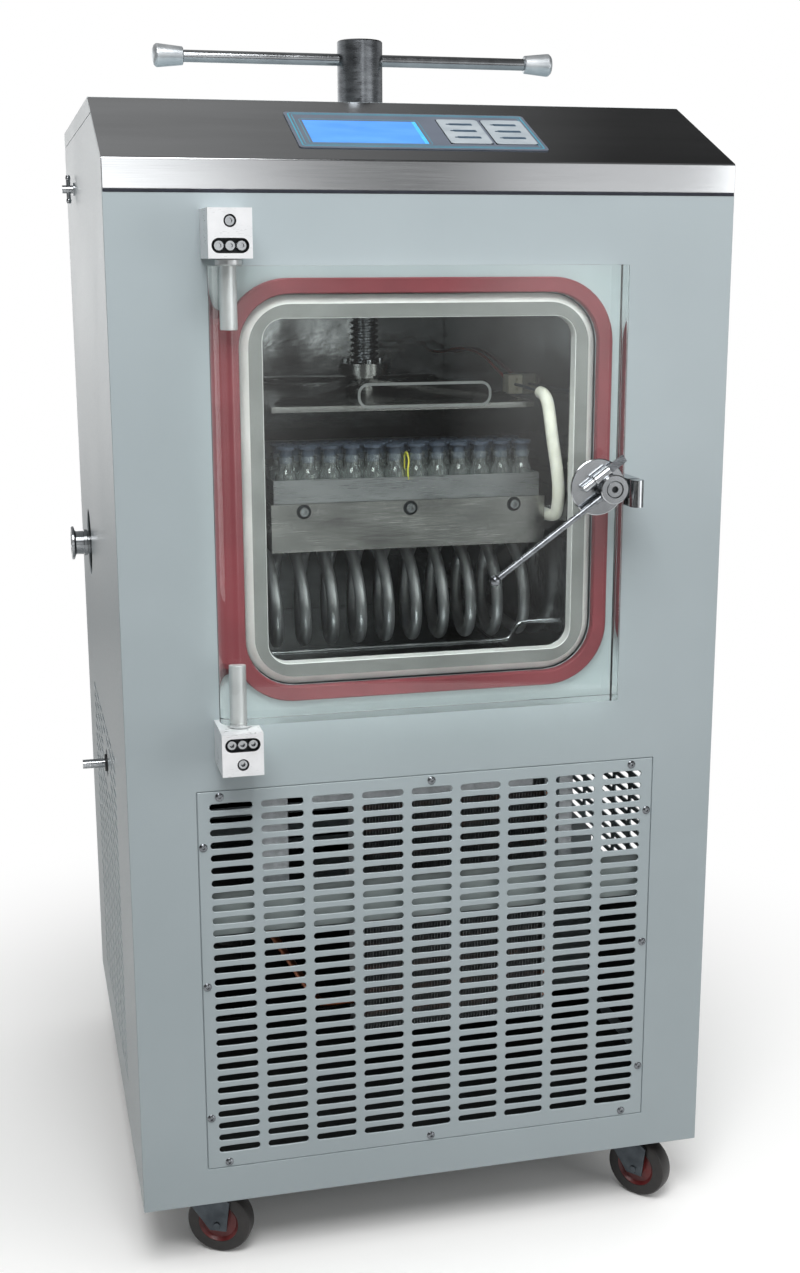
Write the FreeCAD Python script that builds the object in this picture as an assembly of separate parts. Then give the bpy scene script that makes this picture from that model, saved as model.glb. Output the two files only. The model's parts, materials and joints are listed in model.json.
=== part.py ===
import FreeCAD, Part
import math
import os

from FreeCAD import Placement, Rotation, Vector

# Freeze dryer with a stoppering press. Millimetres. While modelling, x = 0 is the cabinet's middle,
# y = 0 its front face (+y to the back) and z = 0 the floor. save() moves every piece by the same
# amount, so that the origin lies on the floor under the middle of the whole object.
ORIGIN = Vector(-13.5, 284.0, 0.0)

# Cabinet
WIDTH = 600.0
DEPTH = 630.0
CABINET_FOOT = 75.0          # lower edge of the panels above the floor
CABINET_TOP = 1167.0
BAND_FOOT = 1077.0           # upright band in front of the sloped control panel
BAND_TOP = 1104.0
SLOPE_BACK = 147.0           # where the slope meets the flat top
SHEET = 2.0
SEAM = 1.5                   # gap between neighbouring panels
COVER_SKIRT = 17.0
PAN_Z = 90.0                 # underside of the base pan
HALF = WIDTH / 2
INSIDE = HALF - SHEET
FOLD = 16.0                  # width of the side sheets' inward folds
POST = 20.0                  # width of each leg of the frame's corner angles
FRAME_TOP = 1060.0

# Front grille
GRILLE_LEFT = -233.5
GRILLE_RIGHT = 235.0
GRILLE_FOOT = 115.0
GRILLE_TOP = 516.0
SLOT_COLUMNS = 9
SLOT_ROWS = 29
SLOT_LENGTH = 42.0
SLOT_HEIGHT = 7.4
SLOT_PITCH_X = 50.4
SLOT_PITCH_Z = 13.04
SLOT_FIRST_X = -201.0
SLOT_FIRST_Z = 134.9

# Side vents
VENT_ROWS = 12
VENT_FRONT = 169.0
VENT_LENGTH = 344.0
VENT_FOOT = 144.0
VENT_PITCH = 2 * SLOT_PITCH_Z

# Power inlet, in the rear panel: left, right, foot and top of its opening
INLET = (-24.0, 24.0, 122.0, 150.0)
INLET_DEPTH = 20.0

# Control panel, measured up the slope from its front edge
FILM_LEFT = -118.5
FILM_RIGHT = 121.0
FILM_FOOT = 28.0
FILM_TOP = 124.5
KEYS_X = (28.5, 73.0)
KEY_WIDTH = 41.0
KEY_FOOT = 42.0
KEY_TOP = 108.0

# Chamber
CHAMBER_X = -14.0            # middle of the chamber, and the press's axis
CHAMBER_WIDTH = 312.0
CHAMBER_FOOT = 590.0
CHAMBER_HEIGHT = 390.0
CHAMBER_BACK = 490.0
CHAMBER_FRONT = 12.0
CHAMBER_WALL = 3.0
MOUTH_WIDTH = 299.0
MOUTH_HEIGHT = 321.0
MOUTH_Z = 803.5
MOUTH_RADIUS = 20.0
FLANGE_RIM = 21.0
FLANGE_FACE = -4.0
FLANGE_CHAMFER = 8.0
FLANGE_RADIUS = 47.0
WINDOW_RADIUS = 48.0         # the panel's window and the seal's inner edge, 1 mm outside the flange
SEAL_RIM = 15.0
SEAL_RADIUS = 60.0
SEAL_FACE = -7.7

# Door
DOOR_RIGHT = 178.0
DOOR_FOOT = 593.0
DOOR_TOP = 1011.0
DOOR_FACE = -46.0
DOOR_BACK = -8.0
HINGE_X = -194.0
HINGE_Y = (DOOR_FACE + DOOR_BACK) / 2
HINGE_EDGE = (DOOR_BACK - DOOR_FACE) / 2
PIN_RADIUS = 6.0
COLLAR_RADIUS = 12.0
UPPER_PIN = (955.0, 1050.0)  # foot and top of each pin
LOWER_PIN = (558.0, 649.0)
RUNNING_FIT = 0.05

# Hinge blocks and screws
BLOCK_LEFT = -215.0
BLOCK_RIGHT = -176.0
BLOCK_FACE = -54.0
RECESS_FLOOR = -47.0
UPPER_BLOCK = (1017.0, 1060.0)
LOWER_BLOCK = (547.0, 588.0)
UPPER_SCREWS = (1028.0, 1049.0)   # heights of the row of three and of the single screw
LOWER_SCREWS = (577.0, 558.0)
ROW_OF_THREE = (-205.5, -195.5, -185.5)
SINGLE_X = -195.5
SCREW_HEAD_RADIUS = 4.6
SCREW_HEAD_FACE = -52.5

# Latch
LATCH_X = 162.0
LATCH_Z = 804.0
LEVER_ANGLE = 215.8          # lever's direction from +x, seen from the front
LEVER_REACH = 142.0
LEVER_Y = -55.0
LEVER_RADIUS = 3.0
LEVER_BALL = 5.5
BAR_OFFSET = 16.0            # cross bar's distance from the stud
BAR_Y = -52.5
BAR_RADIUS = 4.0
STUD_RADIUS = 5.0
STUD_HEAD_RADIUS = 8.0
STUD_HEAD_FOOT = -57.0
STUD_HEAD_TOP = -62.0
DISC_THICK = 2.0
KEEPER_LEFT = 180.0
KEEPER_RIGHT = 192.0
KEEPER_FOOT = 786.0
KEEPER_TOP = 812.0
KEEPER_NOSE = -58.0
KEEPER_NOSE_RADIUS = 6.0
SLOT_FRONT = -53.2           # the keeper's slot for the bar's flat end
SLOT_BACK = -47.5
SLOT_FLOOR = 794.0

# Press
PRESS_Y = 243.0
SCREW_RADIUS = 15.0
HEAD_RADIUS = 23.5
HEAD_TOP = 1236.0
HEAD_FOOT = 1075.0
HANDLE_Z = 1217.0
HANDLE_RADIUS = 6.0
HANDLE_LEFT = -197.0
HANDLE_RIGHT = 164.0
HUB_TOP = 908.0
HUB_DEPTH = 25.0             # how far the screw's end stands in the hub
PRESS_PLATE_Z = 873.0
PRESS_PLATE_THICK = 6.0

# Shelf, tray and vials
SHELF_LEFT = -148.0
SHELF_RIGHT = 129.0
SHELF_FRONT = 60.0
SHELF_BACK = 426.0
SHELF_FOOT = 738.0
SHELF_TOP = 785.0
SHELF_SCREWS_X = (-116.0, -9.5, 97.0)
SHELF_SCREWS_Z = 777.5
TRAY_RIM = 808.0
TRAY_SHEET = 1.2
VIAL_COUNT = 12
VIAL_ROWS = 3
VIAL_PITCH = 21.8
VIAL_RADIUS = 10.75
VIAL_TOP = 830.0
STOPPER_TOP = 840.0

# Condenser coil
COIL_Y = 168.0
COIL_Z = 678.0
COIL_RADIUS = 52.0
COIL_TUBE = 6.0
COIL_PITCH = 29.2
COIL_TURNS = 9
COIL_STEPS = 10              # straight pieces per turn
COIL_FIRST_X = -136.0

# Side fittings
PORT_Y = 470.0
PORT_Z = 686.0
DRAIN_Y = 310.0
DRAIN_Z = 458.0
VALVE_Y = 450.0
VALVE_Z = 1094.0

# Machine bay
BAY_FLOOR = PAN_Z + SHEET
COMPRESSOR_X = -120.0
COMPRESSOR_Y = 440.0
FAN_X = 42.0
FAN_Z = 345.0

# Casters
CASTER_X = 236.0
CASTER_YS = (46.0, 584.0)
CASTER_TURNS = {"front_left": -25, "front_right": -50, "rear_left": 20, "rear_right": -30}
AXLE_RADIUS = 4.0
WHEEL_RADIUS = 34.5
WHEEL_WIDTH = 22.0
TRAIL = 20.0
WHEEL_SIDES = 16

SIDES = 12                   # flat sides that stand for a round, on small and repeated pieces
CORNER_STEPS = 6             # straight pieces of each large round corner


# ---------------------------------------------------------------- shapes


def box(x0, x1, y0, y1, z0, z1):
    return Part.makeBox(x1 - x0, y1 - y0, z1 - z0, Vector(x0, y0, z0))


def round_rod(radius, start, end):
    """True cylinder between two points."""
    line = Vector(*end) - Vector(*start)
    return Part.makeCylinder(radius, line.Length, Vector(*start), line)


def rod(radius, start, end, sides=SIDES):
    """Bar of a few flat sides whose edges lie on the round."""
    return faceted_tube([Vector(*start), Vector(*end)], radius, sides)


def bore(radius, start, end, sides=SIDES):
    """Cutter for a hole whose flat sides touch the round from outside."""
    return rod(radius / math.cos(math.pi / sides), start, end, sides)


def turned(start, direction, profile, sides=SIDES):
    """Turned shape of a few flat sides: pairs of distance along the axis and radius."""
    axis = Vector(*direction)
    side = start_side(axis).normalize()
    middle = Vector(*start)
    return skinned([ring(middle + axis * along, axis, side, radius, sides) for along, radius in profile])


def ring(middle, along, side, radius, sides):
    """Corners of a polygon round an axis, with a flat facing straight down where the axis is level."""
    up = along.cross(side)
    corners = []
    for corner in range(sides):
        angle = 2 * math.pi * (corner + 0.5) / sides
        corners.append(middle + (side * math.cos(angle) + up * math.sin(angle)) * radius)
    return corners


def start_side(along):
    side = along.cross(Vector(0, 0, 1))
    return side if side.Length > 0.01 else Vector(1, 0, 0)


def plate(points, thickness):
    """Flat plate with the given corners, thickened along a vector."""
    corners = [Vector(*p) for p in points]
    wire = Part.makePolygon(corners + corners[:1])
    return Part.Face(wire).extrude(Vector(*thickness))


def rounded_outline(width, height, radius, y):
    """Corners of an upright round-cornered outline about the chamber's mouth, at depth y."""
    corners = []
    for quarter, (across, up) in enumerate(((1, 1), (-1, 1), (-1, -1), (1, -1))):
        x = CHAMBER_X + across * (width / 2 - radius)
        z = MOUTH_Z + up * (height / 2 - radius)
        for step in range(CORNER_STEPS + 1):
            angle = math.pi / 2 * (quarter + step / CORNER_STEPS)
            corners.append(Vector(x + radius * math.cos(angle), y, z + radius * math.sin(angle)))
    return corners


def rounded(width, height, radius, y0, y1):
    """Upright plate with round corners, centred on the chamber's mouth."""
    return skinned([rounded_outline(width, height, radius, y) for y in (y0, y1)])


def edges_along(shape, direction):
    found = []
    for edge in shape.Edges:
        if edge.Curve.TypeId != "Part::GeomLine":
            continue
        if abs(edge.tangentAt(edge.FirstParameter).dot(direction)) > 0.999:
            found.append(edge)
    return found


def faceted_tube(stations, radius, sides):
    """Bar of a few flat sides through a line of points, mitred at each of them."""
    runs = [(after - before).normalize() for before, after in zip(stations, stations[1:])]
    side = start_side(runs[0])
    rings = []
    for index, point in enumerate(stations):
        along = (runs[max(index - 1, 0)] + runs[min(index, len(runs) - 1)]).normalize()
        side = (side - along * side.dot(along)).normalize()
        rings.append(ring(point, along, side, radius, sides))
    return skinned(rings)


def skinned(rings):
    """Solid between rings of corners: flat faces where four corners allow it, else triangles."""
    faces = [flat_face(rings[0]), flat_face(rings[-1])]
    for near, far in zip(rings, rings[1:]):
        for index in range(len(near)):
            a, b, c, d = near[index - 1], near[index], far[index], far[index - 1]
            warp = (b - a).cross(c - a).normalize().dot(d - a)
            if abs(warp) < 1e-6:
                faces.append(flat_face([a, b, c, d]))
            else:
                faces += [flat_face([a, b, c]), flat_face([a, c, d])]
    solid = Part.makeSolid(Part.makeShell(faces))
    if solid.Volume < 0:
        solid.reverse()
    return solid


def flat_face(corners):
    return Part.Face(Part.makePolygon(list(corners) + [corners[0]]))


def route(points, bend, steps=3):
    """Points of a path of straight runs joined by round bends of about the given radius."""
    stations = [Vector(*points[0])]
    for index in range(1, len(points) - 1):
        corner = Vector(*points[index])
        back = Vector(*points[index - 1]) - corner
        ahead = Vector(*points[index + 1]) - corner
        turn = math.pi - back.getAngle(ahead)
        reach = min(bend * math.tan(turn / 2), 0.45 * back.Length, 0.45 * ahead.Length)
        back.normalize()
        ahead.normalize()
        radius = reach / math.tan(turn / 2)
        middle = corner + (back + ahead).normalize() * (radius / math.cos(turn / 2))
        first = corner + back * reach - middle
        last = corner + ahead * reach - middle
        for step in range(steps + 1):
            share = step / steps
            spoke = first * math.sin((1 - share) * turn) + last * math.sin(share * turn)
            stations.append(middle + spoke * (1 / math.sin(turn)))
    stations.append(Vector(*points[-1]))
    return stations


def fused(pieces):
    body = pieces[0].multiFuse(pieces[1:])
    return body.removeSplitter()


def save(name, *pieces):
    shape = pieces[0] if len(pieces) == 1 else Part.makeCompound(list(pieces))
    shape.translate(ORIGIN * -1)
    shape.exportStep(os.path.join("parts", name + ".step"))


# ---------------------------------------------------------------- cabinet


def slope_point(distance, inward=0.0):
    """Point y, z on the sloped control panel, at a distance up from its front edge."""
    rise = CABINET_TOP - BAND_TOP
    length = math.hypot(SLOPE_BACK, rise)
    y = (distance * SLOPE_BACK + inward * rise) / length
    z = BAND_TOP + (distance * rise - inward * SLOPE_BACK) / length
    return y, z


def slope_height(y, inward):
    """Height of the sloped sheet, or of the line a distance under it, at a given depth."""
    slant = math.hypot(SLOPE_BACK, CABINET_TOP - BAND_TOP)
    return BAND_TOP + y * (CABINET_TOP - BAND_TOP) / SLOPE_BACK - inward * slant / SLOPE_BACK


def base_pan():
    depth = DEPTH - SHEET
    pan = box(-INSIDE, INSIDE, SHEET, depth, CABINET_FOOT + 2, PAN_Z + SHEET)
    hollow = box(SHEET - INSIDE, INSIDE - SHEET, 2 * SHEET, depth - SHEET, CABINET_FOOT, PAN_Z)
    return pan.cut(hollow)


def side_vents(x0, x1):
    """Cutters for the long vent slots of a side panel."""
    slots = []
    for row in range(VENT_ROWS):
        z = VENT_FOOT + row * VENT_PITCH
        slots.append(box(x0, x1, VENT_FRONT, VENT_FRONT + VENT_LENGTH, z, z + SLOT_HEIGHT))
    return Part.makeCompound(slots)


def side_panel(side):
    """Side sheet under the cover's skirt, its front top corner cut on the slope."""
    skirt_foot = CABINET_TOP - COVER_SKIRT - 0.5
    meet = (skirt_foot - slope_height(0, SHEET + 0.3)) * SLOPE_BACK / (CABINET_TOP - BAND_TOP)
    outer = side * HALF
    outline = [
        (outer, SHEET, CABINET_FOOT),
        (outer, DEPTH - SHEET, CABINET_FOOT),
        (outer, DEPTH - SHEET, skirt_foot),
        (outer, meet, skirt_foot),
        (outer, SHEET, slope_height(SHEET, SHEET + 0.3)),
    ]
    sheet = plate(outline, (-side * SHEET, 0, 0))
    inner = side * INSIDE
    folds = []
    for y in (SHEET, DEPTH - 2 * SHEET):
        x0, x1 = sorted((inner, inner - side * FOLD))
        folds.append(box(x0, x1, y, y + SHEET, CABINET_FOOT + 30, BAND_FOOT - 30))
    sheet = fused([sheet] + folds)
    x0, x1 = sorted((outer + side, inner - side))
    sheet = sheet.cut(side_vents(x0, x1))
    if side < 0:
        for radius, y, z in ((39.5, PORT_Y, PORT_Z), (16, DRAIN_Y, DRAIN_Z), (7.3, VALVE_Y, VALVE_Z)):
            sheet = sheet.cut(bore(radius, (x0, y, z), (x1, y, z), 16))
    return sheet


def front_panel():
    """Front sheet with the chamber's window and the framed opening of the grille."""
    sheet = box(-HALF, HALF, 0, SHEET, CABINET_FOOT, BAND_FOOT - SEAM)
    gap = 0.8
    rebate = box(GRILLE_LEFT - 14, GRILLE_RIGHT + 14, SHEET, SHEET + 1.5, GRILLE_FOOT - 14, GRILLE_TOP + 14)
    sheet = fused([sheet, rebate])
    opening = box(GRILLE_LEFT - gap, GRILLE_RIGHT + gap, -1, SHEET, GRILLE_FOOT - gap, GRILLE_TOP + gap)
    sheet = sheet.cut(opening)
    ledge = 10.0
    through = box(
        GRILLE_LEFT + ledge, GRILLE_RIGHT - ledge, 0, 2 * SHEET, GRILLE_FOOT + ledge, GRILLE_TOP - ledge
    )
    sheet = sheet.cut(through)
    window_width = MOUTH_WIDTH + 2 * FLANGE_RIM + 2
    window_height = MOUTH_HEIGHT + 2 * FLANGE_RIM + 2
    return sheet.cut(rounded(window_width, window_height, WINDOW_RADIUS, -1, 2 * SHEET))


def rear_panel():
    sheet = box(-HALF, HALF, DEPTH - SHEET, DEPTH, CABINET_FOOT, CABINET_TOP - COVER_SKIRT - 0.5)
    vents = []
    for row in range(VENT_ROWS):
        z = VENT_FOOT + row * VENT_PITCH
        vents.append(box(-VENT_LENGTH / 2, VENT_LENGTH / 2, DEPTH - 2 * SHEET, DEPTH + 1, z, z + SLOT_HEIGHT))
    sheet = sheet.cut(Part.makeCompound(vents))
    left, right, foot, top = INLET
    return sheet.cut(box(left, right, DEPTH - 2 * SHEET, DEPTH + 1, foot, top))


def power_inlet():
    """Recessed appliance inlet with three flat pins."""
    left, right, foot, top = INLET
    rim = 6
    wall = 3
    floor = DEPTH - INLET_DEPTH + wall
    body = fused([
        box(left - rim, right + rim, DEPTH, DEPTH + 2, foot - rim, top + rim),
        box(left, right, DEPTH - INLET_DEPTH, DEPTH, foot, top),
    ])
    shell = body.cut(box(left + wall, right - wall, floor, DEPTH + 3, foot + wall, top - wall))
    pins = []
    for x, z in ((-7, 132), (0, 139), (7, 132)):
        pins.append(box(x - 1, x + 1, floor, DEPTH - 3, z - 2, z + 2))
    return fused([shell] + pins)


def top_cover():
    """Flat lid with skirts at its sides and back, and a hole for the press's spindle."""
    front = SLOPE_BACK + SEAM
    foot = CABINET_TOP - COVER_SKIRT
    lid = box(-HALF, HALF, front, DEPTH, CABINET_TOP - SHEET, CABINET_TOP)
    meet = (foot - slope_height(0, SHEET + 0.3)) * SLOPE_BACK / (CABINET_TOP - BAND_TOP)
    skirts = [box(-HALF, HALF, DEPTH - SHEET, DEPTH, foot, CABINET_TOP - SHEET)]
    for side in (-1, 1):
        outline = [
            (side * HALF, meet, foot),
            (side * HALF, DEPTH, foot),
            (side * HALF, DEPTH, CABINET_TOP - SHEET),
            (side * HALF, front, CABINET_TOP - SHEET),
            (side * HALF, front, slope_height(front, SHEET + 0.3)),
        ]
        skirts.append(plate(outline, (-side * SHEET, 0, 0)))
    lid = fused([lid] + skirts)
    return lid.cut(round_rod(26, (CHAMBER_X, PRESS_Y, foot), (CHAMBER_X, PRESS_Y, CABINET_TOP + 1)))


def control_hood():
    """Bent sheet: the upright band and the slope above it."""
    back_y, back_z = slope_point(math.hypot(SLOPE_BACK, CABINET_TOP - BAND_TOP))
    under_y, under_z = slope_point(math.hypot(SLOPE_BACK, CABINET_TOP - BAND_TOP), SHEET)
    outline = [
        (-HALF, 0, BAND_FOOT),
        (-HALF, 0, BAND_TOP),
        (-HALF, back_y, back_z),
        (-HALF, under_y, under_z),
        (-HALF, SHEET, slope_height(SHEET, SHEET)),
        (-HALF, SHEET, BAND_FOOT),
    ]
    hood = plate(outline, (WIDTH, 0, 0))
    fold = [e for e in edges_along(hood, Vector(1, 0, 0)) if abs(e.CenterOfMass.z - BAND_TOP) < 0.1]
    return hood.makeFillet(2.5, fold)


def inner_frame():
    """Welded frame: corner posts, a front cross rail, chamber rails and mounting straps."""
    posts = []
    for side in (-1, 1):
        outer = side * (INSIDE - 0.5)
        for y, turn in ((2 * SHEET + 2, 1), (DEPTH - 2 * SHEET - 2, -1)):
            corners = [
                (outer, y, BAY_FLOOR),
                (outer - side * POST, y, BAY_FLOOR),
                (outer - side * POST, y + turn * SHEET, BAY_FLOOR),
                (outer - side * SHEET, y + turn * SHEET, BAY_FLOOR),
                (outer - side * SHEET, y + turn * POST, BAY_FLOOR),
                (outer, y + turn * POST, BAY_FLOOR),
            ]
            posts.append(plate(corners, (0, 0, FRAME_TOP - BAY_FLOOR)))
    cross = box(-277, 277, 8, 28, 364, 402)
    rails = [box(x, x + 28, 30, 600, 559, CHAMBER_FOOT - CHAMBER_WALL) for x in (-170, 114)]
    stays = [box(-297, 297, y, y + 20, 539, 559) for y in (30, 580)]
    straps = [box(-168, -140, 30, 32, 402, 539), box(145, 160, 30, 32, 402, 539)]
    girt = box(-120, 120, 40, 42, 479, 492)
    return posts + [cross] + rails + stays + straps + [girt]


# ---------------------------------------------------------------- front grille


def front_grille():
    """Flush sheet punched with a field of short vent slots."""
    sheet = box(GRILLE_LEFT, GRILLE_RIGHT, 0, SHEET, GRILLE_FOOT, GRILLE_TOP)
    slots = []
    for column in range(SLOT_COLUMNS):
        x = SLOT_FIRST_X + column * SLOT_PITCH_X - SLOT_LENGTH / 2
        for row in range(SLOT_ROWS):
            z = SLOT_FIRST_Z + row * SLOT_PITCH_Z - SLOT_HEIGHT / 2
            slots.append(box(x, x + SLOT_LENGTH, -1, SHEET + 1, z, z + SLOT_HEIGHT))
    return sheet.cut(Part.makeCompound(slots))


def grille_screws():
    """Dome-headed screws round the grille's edge."""
    places = []
    for x in (-212, 0, 212):
        places.append((x, 510.5))
        places.append((x, 120.5))
    for x in (-229, 230):
        for z in (460, 314, 171):
            places.append((x, z))
    return [turned((x, 0, z), (0, -1, 0), ((0, 4.2), (1.8, 2.6)), 4) for x, z in places]


# ---------------------------------------------------------------- control panel


def on_slope(shape):
    """Lay a flat shape, modelled with x across and y up the slope, on the sloped panel."""
    angle = math.degrees(math.atan2(CABINET_TOP - BAND_TOP, SLOPE_BACK))
    shape.Placement = Placement(Vector(0, 0, BAND_TOP), Rotation(Vector(1, 0, 0), angle))
    return shape


def control_overlay():
    """Thin framed overlay with the display's window and wells for the two keys."""
    film = box(FILM_LEFT, FILM_RIGHT, FILM_FOOT, FILM_TOP, 0, 1.2)
    display = box(-104, 7, 41, 102, 0.8, 2)
    gap = 0.4
    keys = [box(x - gap, x + KEY_WIDTH + gap, KEY_FOOT - gap, KEY_TOP + gap, 0, 2) for x in KEYS_X]
    return on_slope(film.cut(Part.makeCompound([display] + keys)))


def key_pad(x):
    """Light key standing a little proud of the overlay, over its switch."""
    pad = box(x, x + KEY_WIDTH, KEY_FOOT, KEY_TOP, 0.7, 2.0)
    return on_slope(pad.makeChamfer(3, edges_along(pad, Vector(0, 0, 1))))


# ---------------------------------------------------------------- chamber


def chamber_box():
    """Welded vacuum chamber: a box of sheet, open at its mouth, with shelf rails on its walls."""
    x0 = CHAMBER_X - CHAMBER_WIDTH / 2
    x1 = CHAMBER_X + CHAMBER_WIDTH / 2
    top = CHAMBER_FOOT + CHAMBER_HEIGHT
    wall = CHAMBER_WALL
    front, back, foot = CHAMBER_FRONT, CHAMBER_BACK, CHAMBER_FOOT
    shell = box(x0 - wall, x1 + wall, front - wall, back + wall, foot - wall, top + wall)
    hollow = box(x0, x1, front, back, foot, top)
    hollow = hollow.makeFillet(9, edges_along(hollow, Vector(0, 1, 0)))
    mouth = rounded(MOUTH_WIDTH, MOUTH_HEIGHT, MOUTH_RADIUS, 0, front + 1)
    shell = shell.cut(hollow).cut(mouth)
    shell = shell.cut(bore(SCREW_RADIUS + 1, (CHAMBER_X, PRESS_Y, top - 1), (CHAMBER_X, PRESS_Y, top + 5)))
    shell = shell.cut(rod(12, (x0 - 5, PORT_Y, PORT_Z), (x0 + 1, PORT_Y, PORT_Z)))
    rails = [
        box(x0, SHELF_LEFT, 80, 410, 755, 759),
        box(SHELF_RIGHT, x1, 100, 410, 755, 759),
        box(SHELF_RIGHT + 1, x1, 80, 94, 756, 772),
    ]
    return fused([shell] + rails)


def chamber_flange():
    """Thick frame round the mouth with a chamfered outer rim."""
    width = MOUTH_WIDTH + 2 * FLANGE_RIM
    height = MOUTH_HEIGHT + 2 * FLANGE_RIM
    back = CHAMBER_FRONT - CHAMBER_WALL
    bevel = FLANGE_CHAMFER
    frame = skinned([
        rounded_outline(width - 2 * bevel, height - 2 * bevel, FLANGE_RADIUS - bevel, FLANGE_FACE),
        rounded_outline(width, height, FLANGE_RADIUS, FLANGE_FACE + bevel),
        rounded_outline(width, height, FLANGE_RADIUS, back),
    ])
    return frame.cut(rounded(MOUTH_WIDTH, MOUTH_HEIGHT, MOUTH_RADIUS, FLANGE_FACE - 1, back + 1))


def door_seal():
    """Flat rubber ring on the front panel, round the flange."""
    inner_width = MOUTH_WIDTH + 2 * FLANGE_RIM + 2
    inner_height = MOUTH_HEIGHT + 2 * FLANGE_RIM + 2
    outer_width = inner_width + 2 * SEAL_RIM - 2
    outer_height = inner_height + 2 * SEAL_RIM - 2
    seal = rounded(outer_width, outer_height, SEAL_RADIUS, SEAL_FACE, 0)
    return seal.cut(rounded(inner_width, inner_height, WINDOW_RADIUS, SEAL_FACE - 1, 1))


def shelf():
    """Sealed temperature-controlled shelf with three screw recesses along its front."""
    body = box(SHELF_LEFT, SHELF_RIGHT, SHELF_FRONT, SHELF_BACK, SHELF_FOOT, SHELF_TOP)
    for x in SHELF_SCREWS_X:
        body = body.cut(rod(7, (x, SHELF_FRONT - 1, SHELF_SCREWS_Z), (x, SHELF_FRONT + 3, SHELF_SCREWS_Z), 8))
    return body


def tray():
    """Open tray of thin sheet on the shelf."""
    left, right, front, back = SHELF_LEFT + 3, SHELF_RIGHT - 5, SHELF_FRONT + 3, SHELF_BACK - 3
    wall = TRAY_SHEET
    body = box(left, right, front, back, SHELF_TOP, TRAY_RIM)
    return body.cut(box(left + wall, right - wall, front + wall, back - wall, SHELF_TOP + wall, TRAY_RIM + 1))


def vial_places():
    """Middles of the vials, in rows that nest in each other."""
    places = []
    for row in range(VIAL_ROWS):
        count = VIAL_COUNT if row % 2 == 0 else VIAL_COUNT - 1
        first = -10.5 - (count - 1) * VIAL_PITCH / 2
        y = SHELF_FRONT + 16 + row * VIAL_PITCH * math.sin(math.pi / 3)
        for index in range(count):
            places.append((first + index * VIAL_PITCH, y))
    return places


def vial(x, y):
    return rod(VIAL_RADIUS, (x, y, SHELF_TOP + TRAY_SHEET), (x, y, VIAL_TOP - 8), 6)


def stopper(x, y):
    return rod(7, (x, y, VIAL_TOP - 8), (x, y, STOPPER_TOP), 5)


def condenser_coil():
    """Cold coil: a tube that enters at the back, winds along x and leaves at the back."""
    steps = COIL_TURNS * COIL_STEPS + COIL_STEPS // 2
    stations = [Vector(COIL_FIRST_X - COIL_PITCH / 4, CHAMBER_BACK, COIL_Z + COIL_RADIUS)]
    for step in range(steps + 1):
        angle = 2 * math.pi * step / COIL_STEPS
        x = COIL_FIRST_X + COIL_PITCH * (step / COIL_STEPS - 0.25)
        y = COIL_Y - COIL_RADIUS * math.sin(angle)
        z = COIL_Z + COIL_RADIUS * math.cos(angle)
        stations.append(Vector(x, y, z))
    last = stations[-1]
    stations.append(Vector(last.x, CHAMBER_BACK, last.z))
    return faceted_tube(stations, COIL_TUBE, 5)


def defrost_pipe():
    x0 = CHAMBER_X - CHAMBER_WIDTH / 2
    x1 = CHAMBER_X + CHAMBER_WIDTH / 2
    path = [(x0, 110, 615), (108, 110, 615), (120, 110, 645), (x1, 110, 645)]
    return faceted_tube(route(path, 12), 2.5, 6)


def shelf_hose():
    """White hose from the feed-through block to the lower fitting on the wall."""
    path = [
        (134, 175, 887),
        (134, 120, 887),
        (121.5, 38, 889),
        (127, 27, 845),
        (135, 29, 800),
        (135.5, 46, 764),
        (135.5, 80, 764),
    ]
    return faceted_tube(route(path, 60), 6.2, 6)


def temperature_probe():
    """Feed-through block on the right wall and the lead moulded into it."""
    wall = CHAMBER_X + CHAMBER_WIDTH / 2
    block = box(wall - 16, wall, 175, 195, 877, 897)
    path = [(wall - 6, 194, 887), (wall - 6, 225, 892), (wall - 4, 310, 912), (wall - 6, 400, 915)]
    path += [(wall - 12, 460, 905), (wall - 12, CHAMBER_BACK, 905)]
    lead = faceted_tube(route(path, 60), 1.6, 4)
    return fused([block, lead])


# ---------------------------------------------------------------- hinges


def hinge_block(heights, screws):
    """Block with a bore for the hinge pin, an obround recess for three screws and one counterbore."""
    foot, top = heights
    row_z, single_z = screws
    front = BLOCK_FACE - 1
    block = box(BLOCK_LEFT, BLOCK_RIGHT, BLOCK_FACE, 0, foot, top)
    pin_hole = (HINGE_X, HINGE_Y, foot - 1), (HINGE_X, HINGE_Y, top + 1)
    block = block.cut(bore(PIN_RADIUS + RUNNING_FIT, *pin_hole))
    recess = box(BLOCK_LEFT + 3.5, BLOCK_RIGHT - 3.5, front, RECESS_FLOOR, row_z - 6.5, row_z + 6.5)
    recess = recess.makeChamfer(4, edges_along(recess, Vector(0, 1, 0)))
    block = block.cut(recess)
    return block.cut(rod(5.5, (SINGLE_X, front, single_z), (SINGLE_X, RECESS_FLOOR, single_z), 8))


def cap_screws():
    """Socket-head screws of the hinge blocks and of the shelf's front."""
    places = []
    for row_z, single_z in (UPPER_SCREWS, LOWER_SCREWS):
        places += [(x, row_z) for x in ROW_OF_THREE] + [(SINGLE_X, single_z)]
    screws = [rod(SCREW_HEAD_RADIUS, (x, SCREW_HEAD_FACE, z), (x, RECESS_FLOOR, z), 6) for x, z in places]
    z = SHELF_SCREWS_Z
    for x in SHELF_SCREWS_X:
        screws.append(rod(SCREW_HEAD_RADIUS, (x, SHELF_FRONT - 1, z), (x, SHELF_FRONT + 3, z), 6))
    return screws


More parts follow.
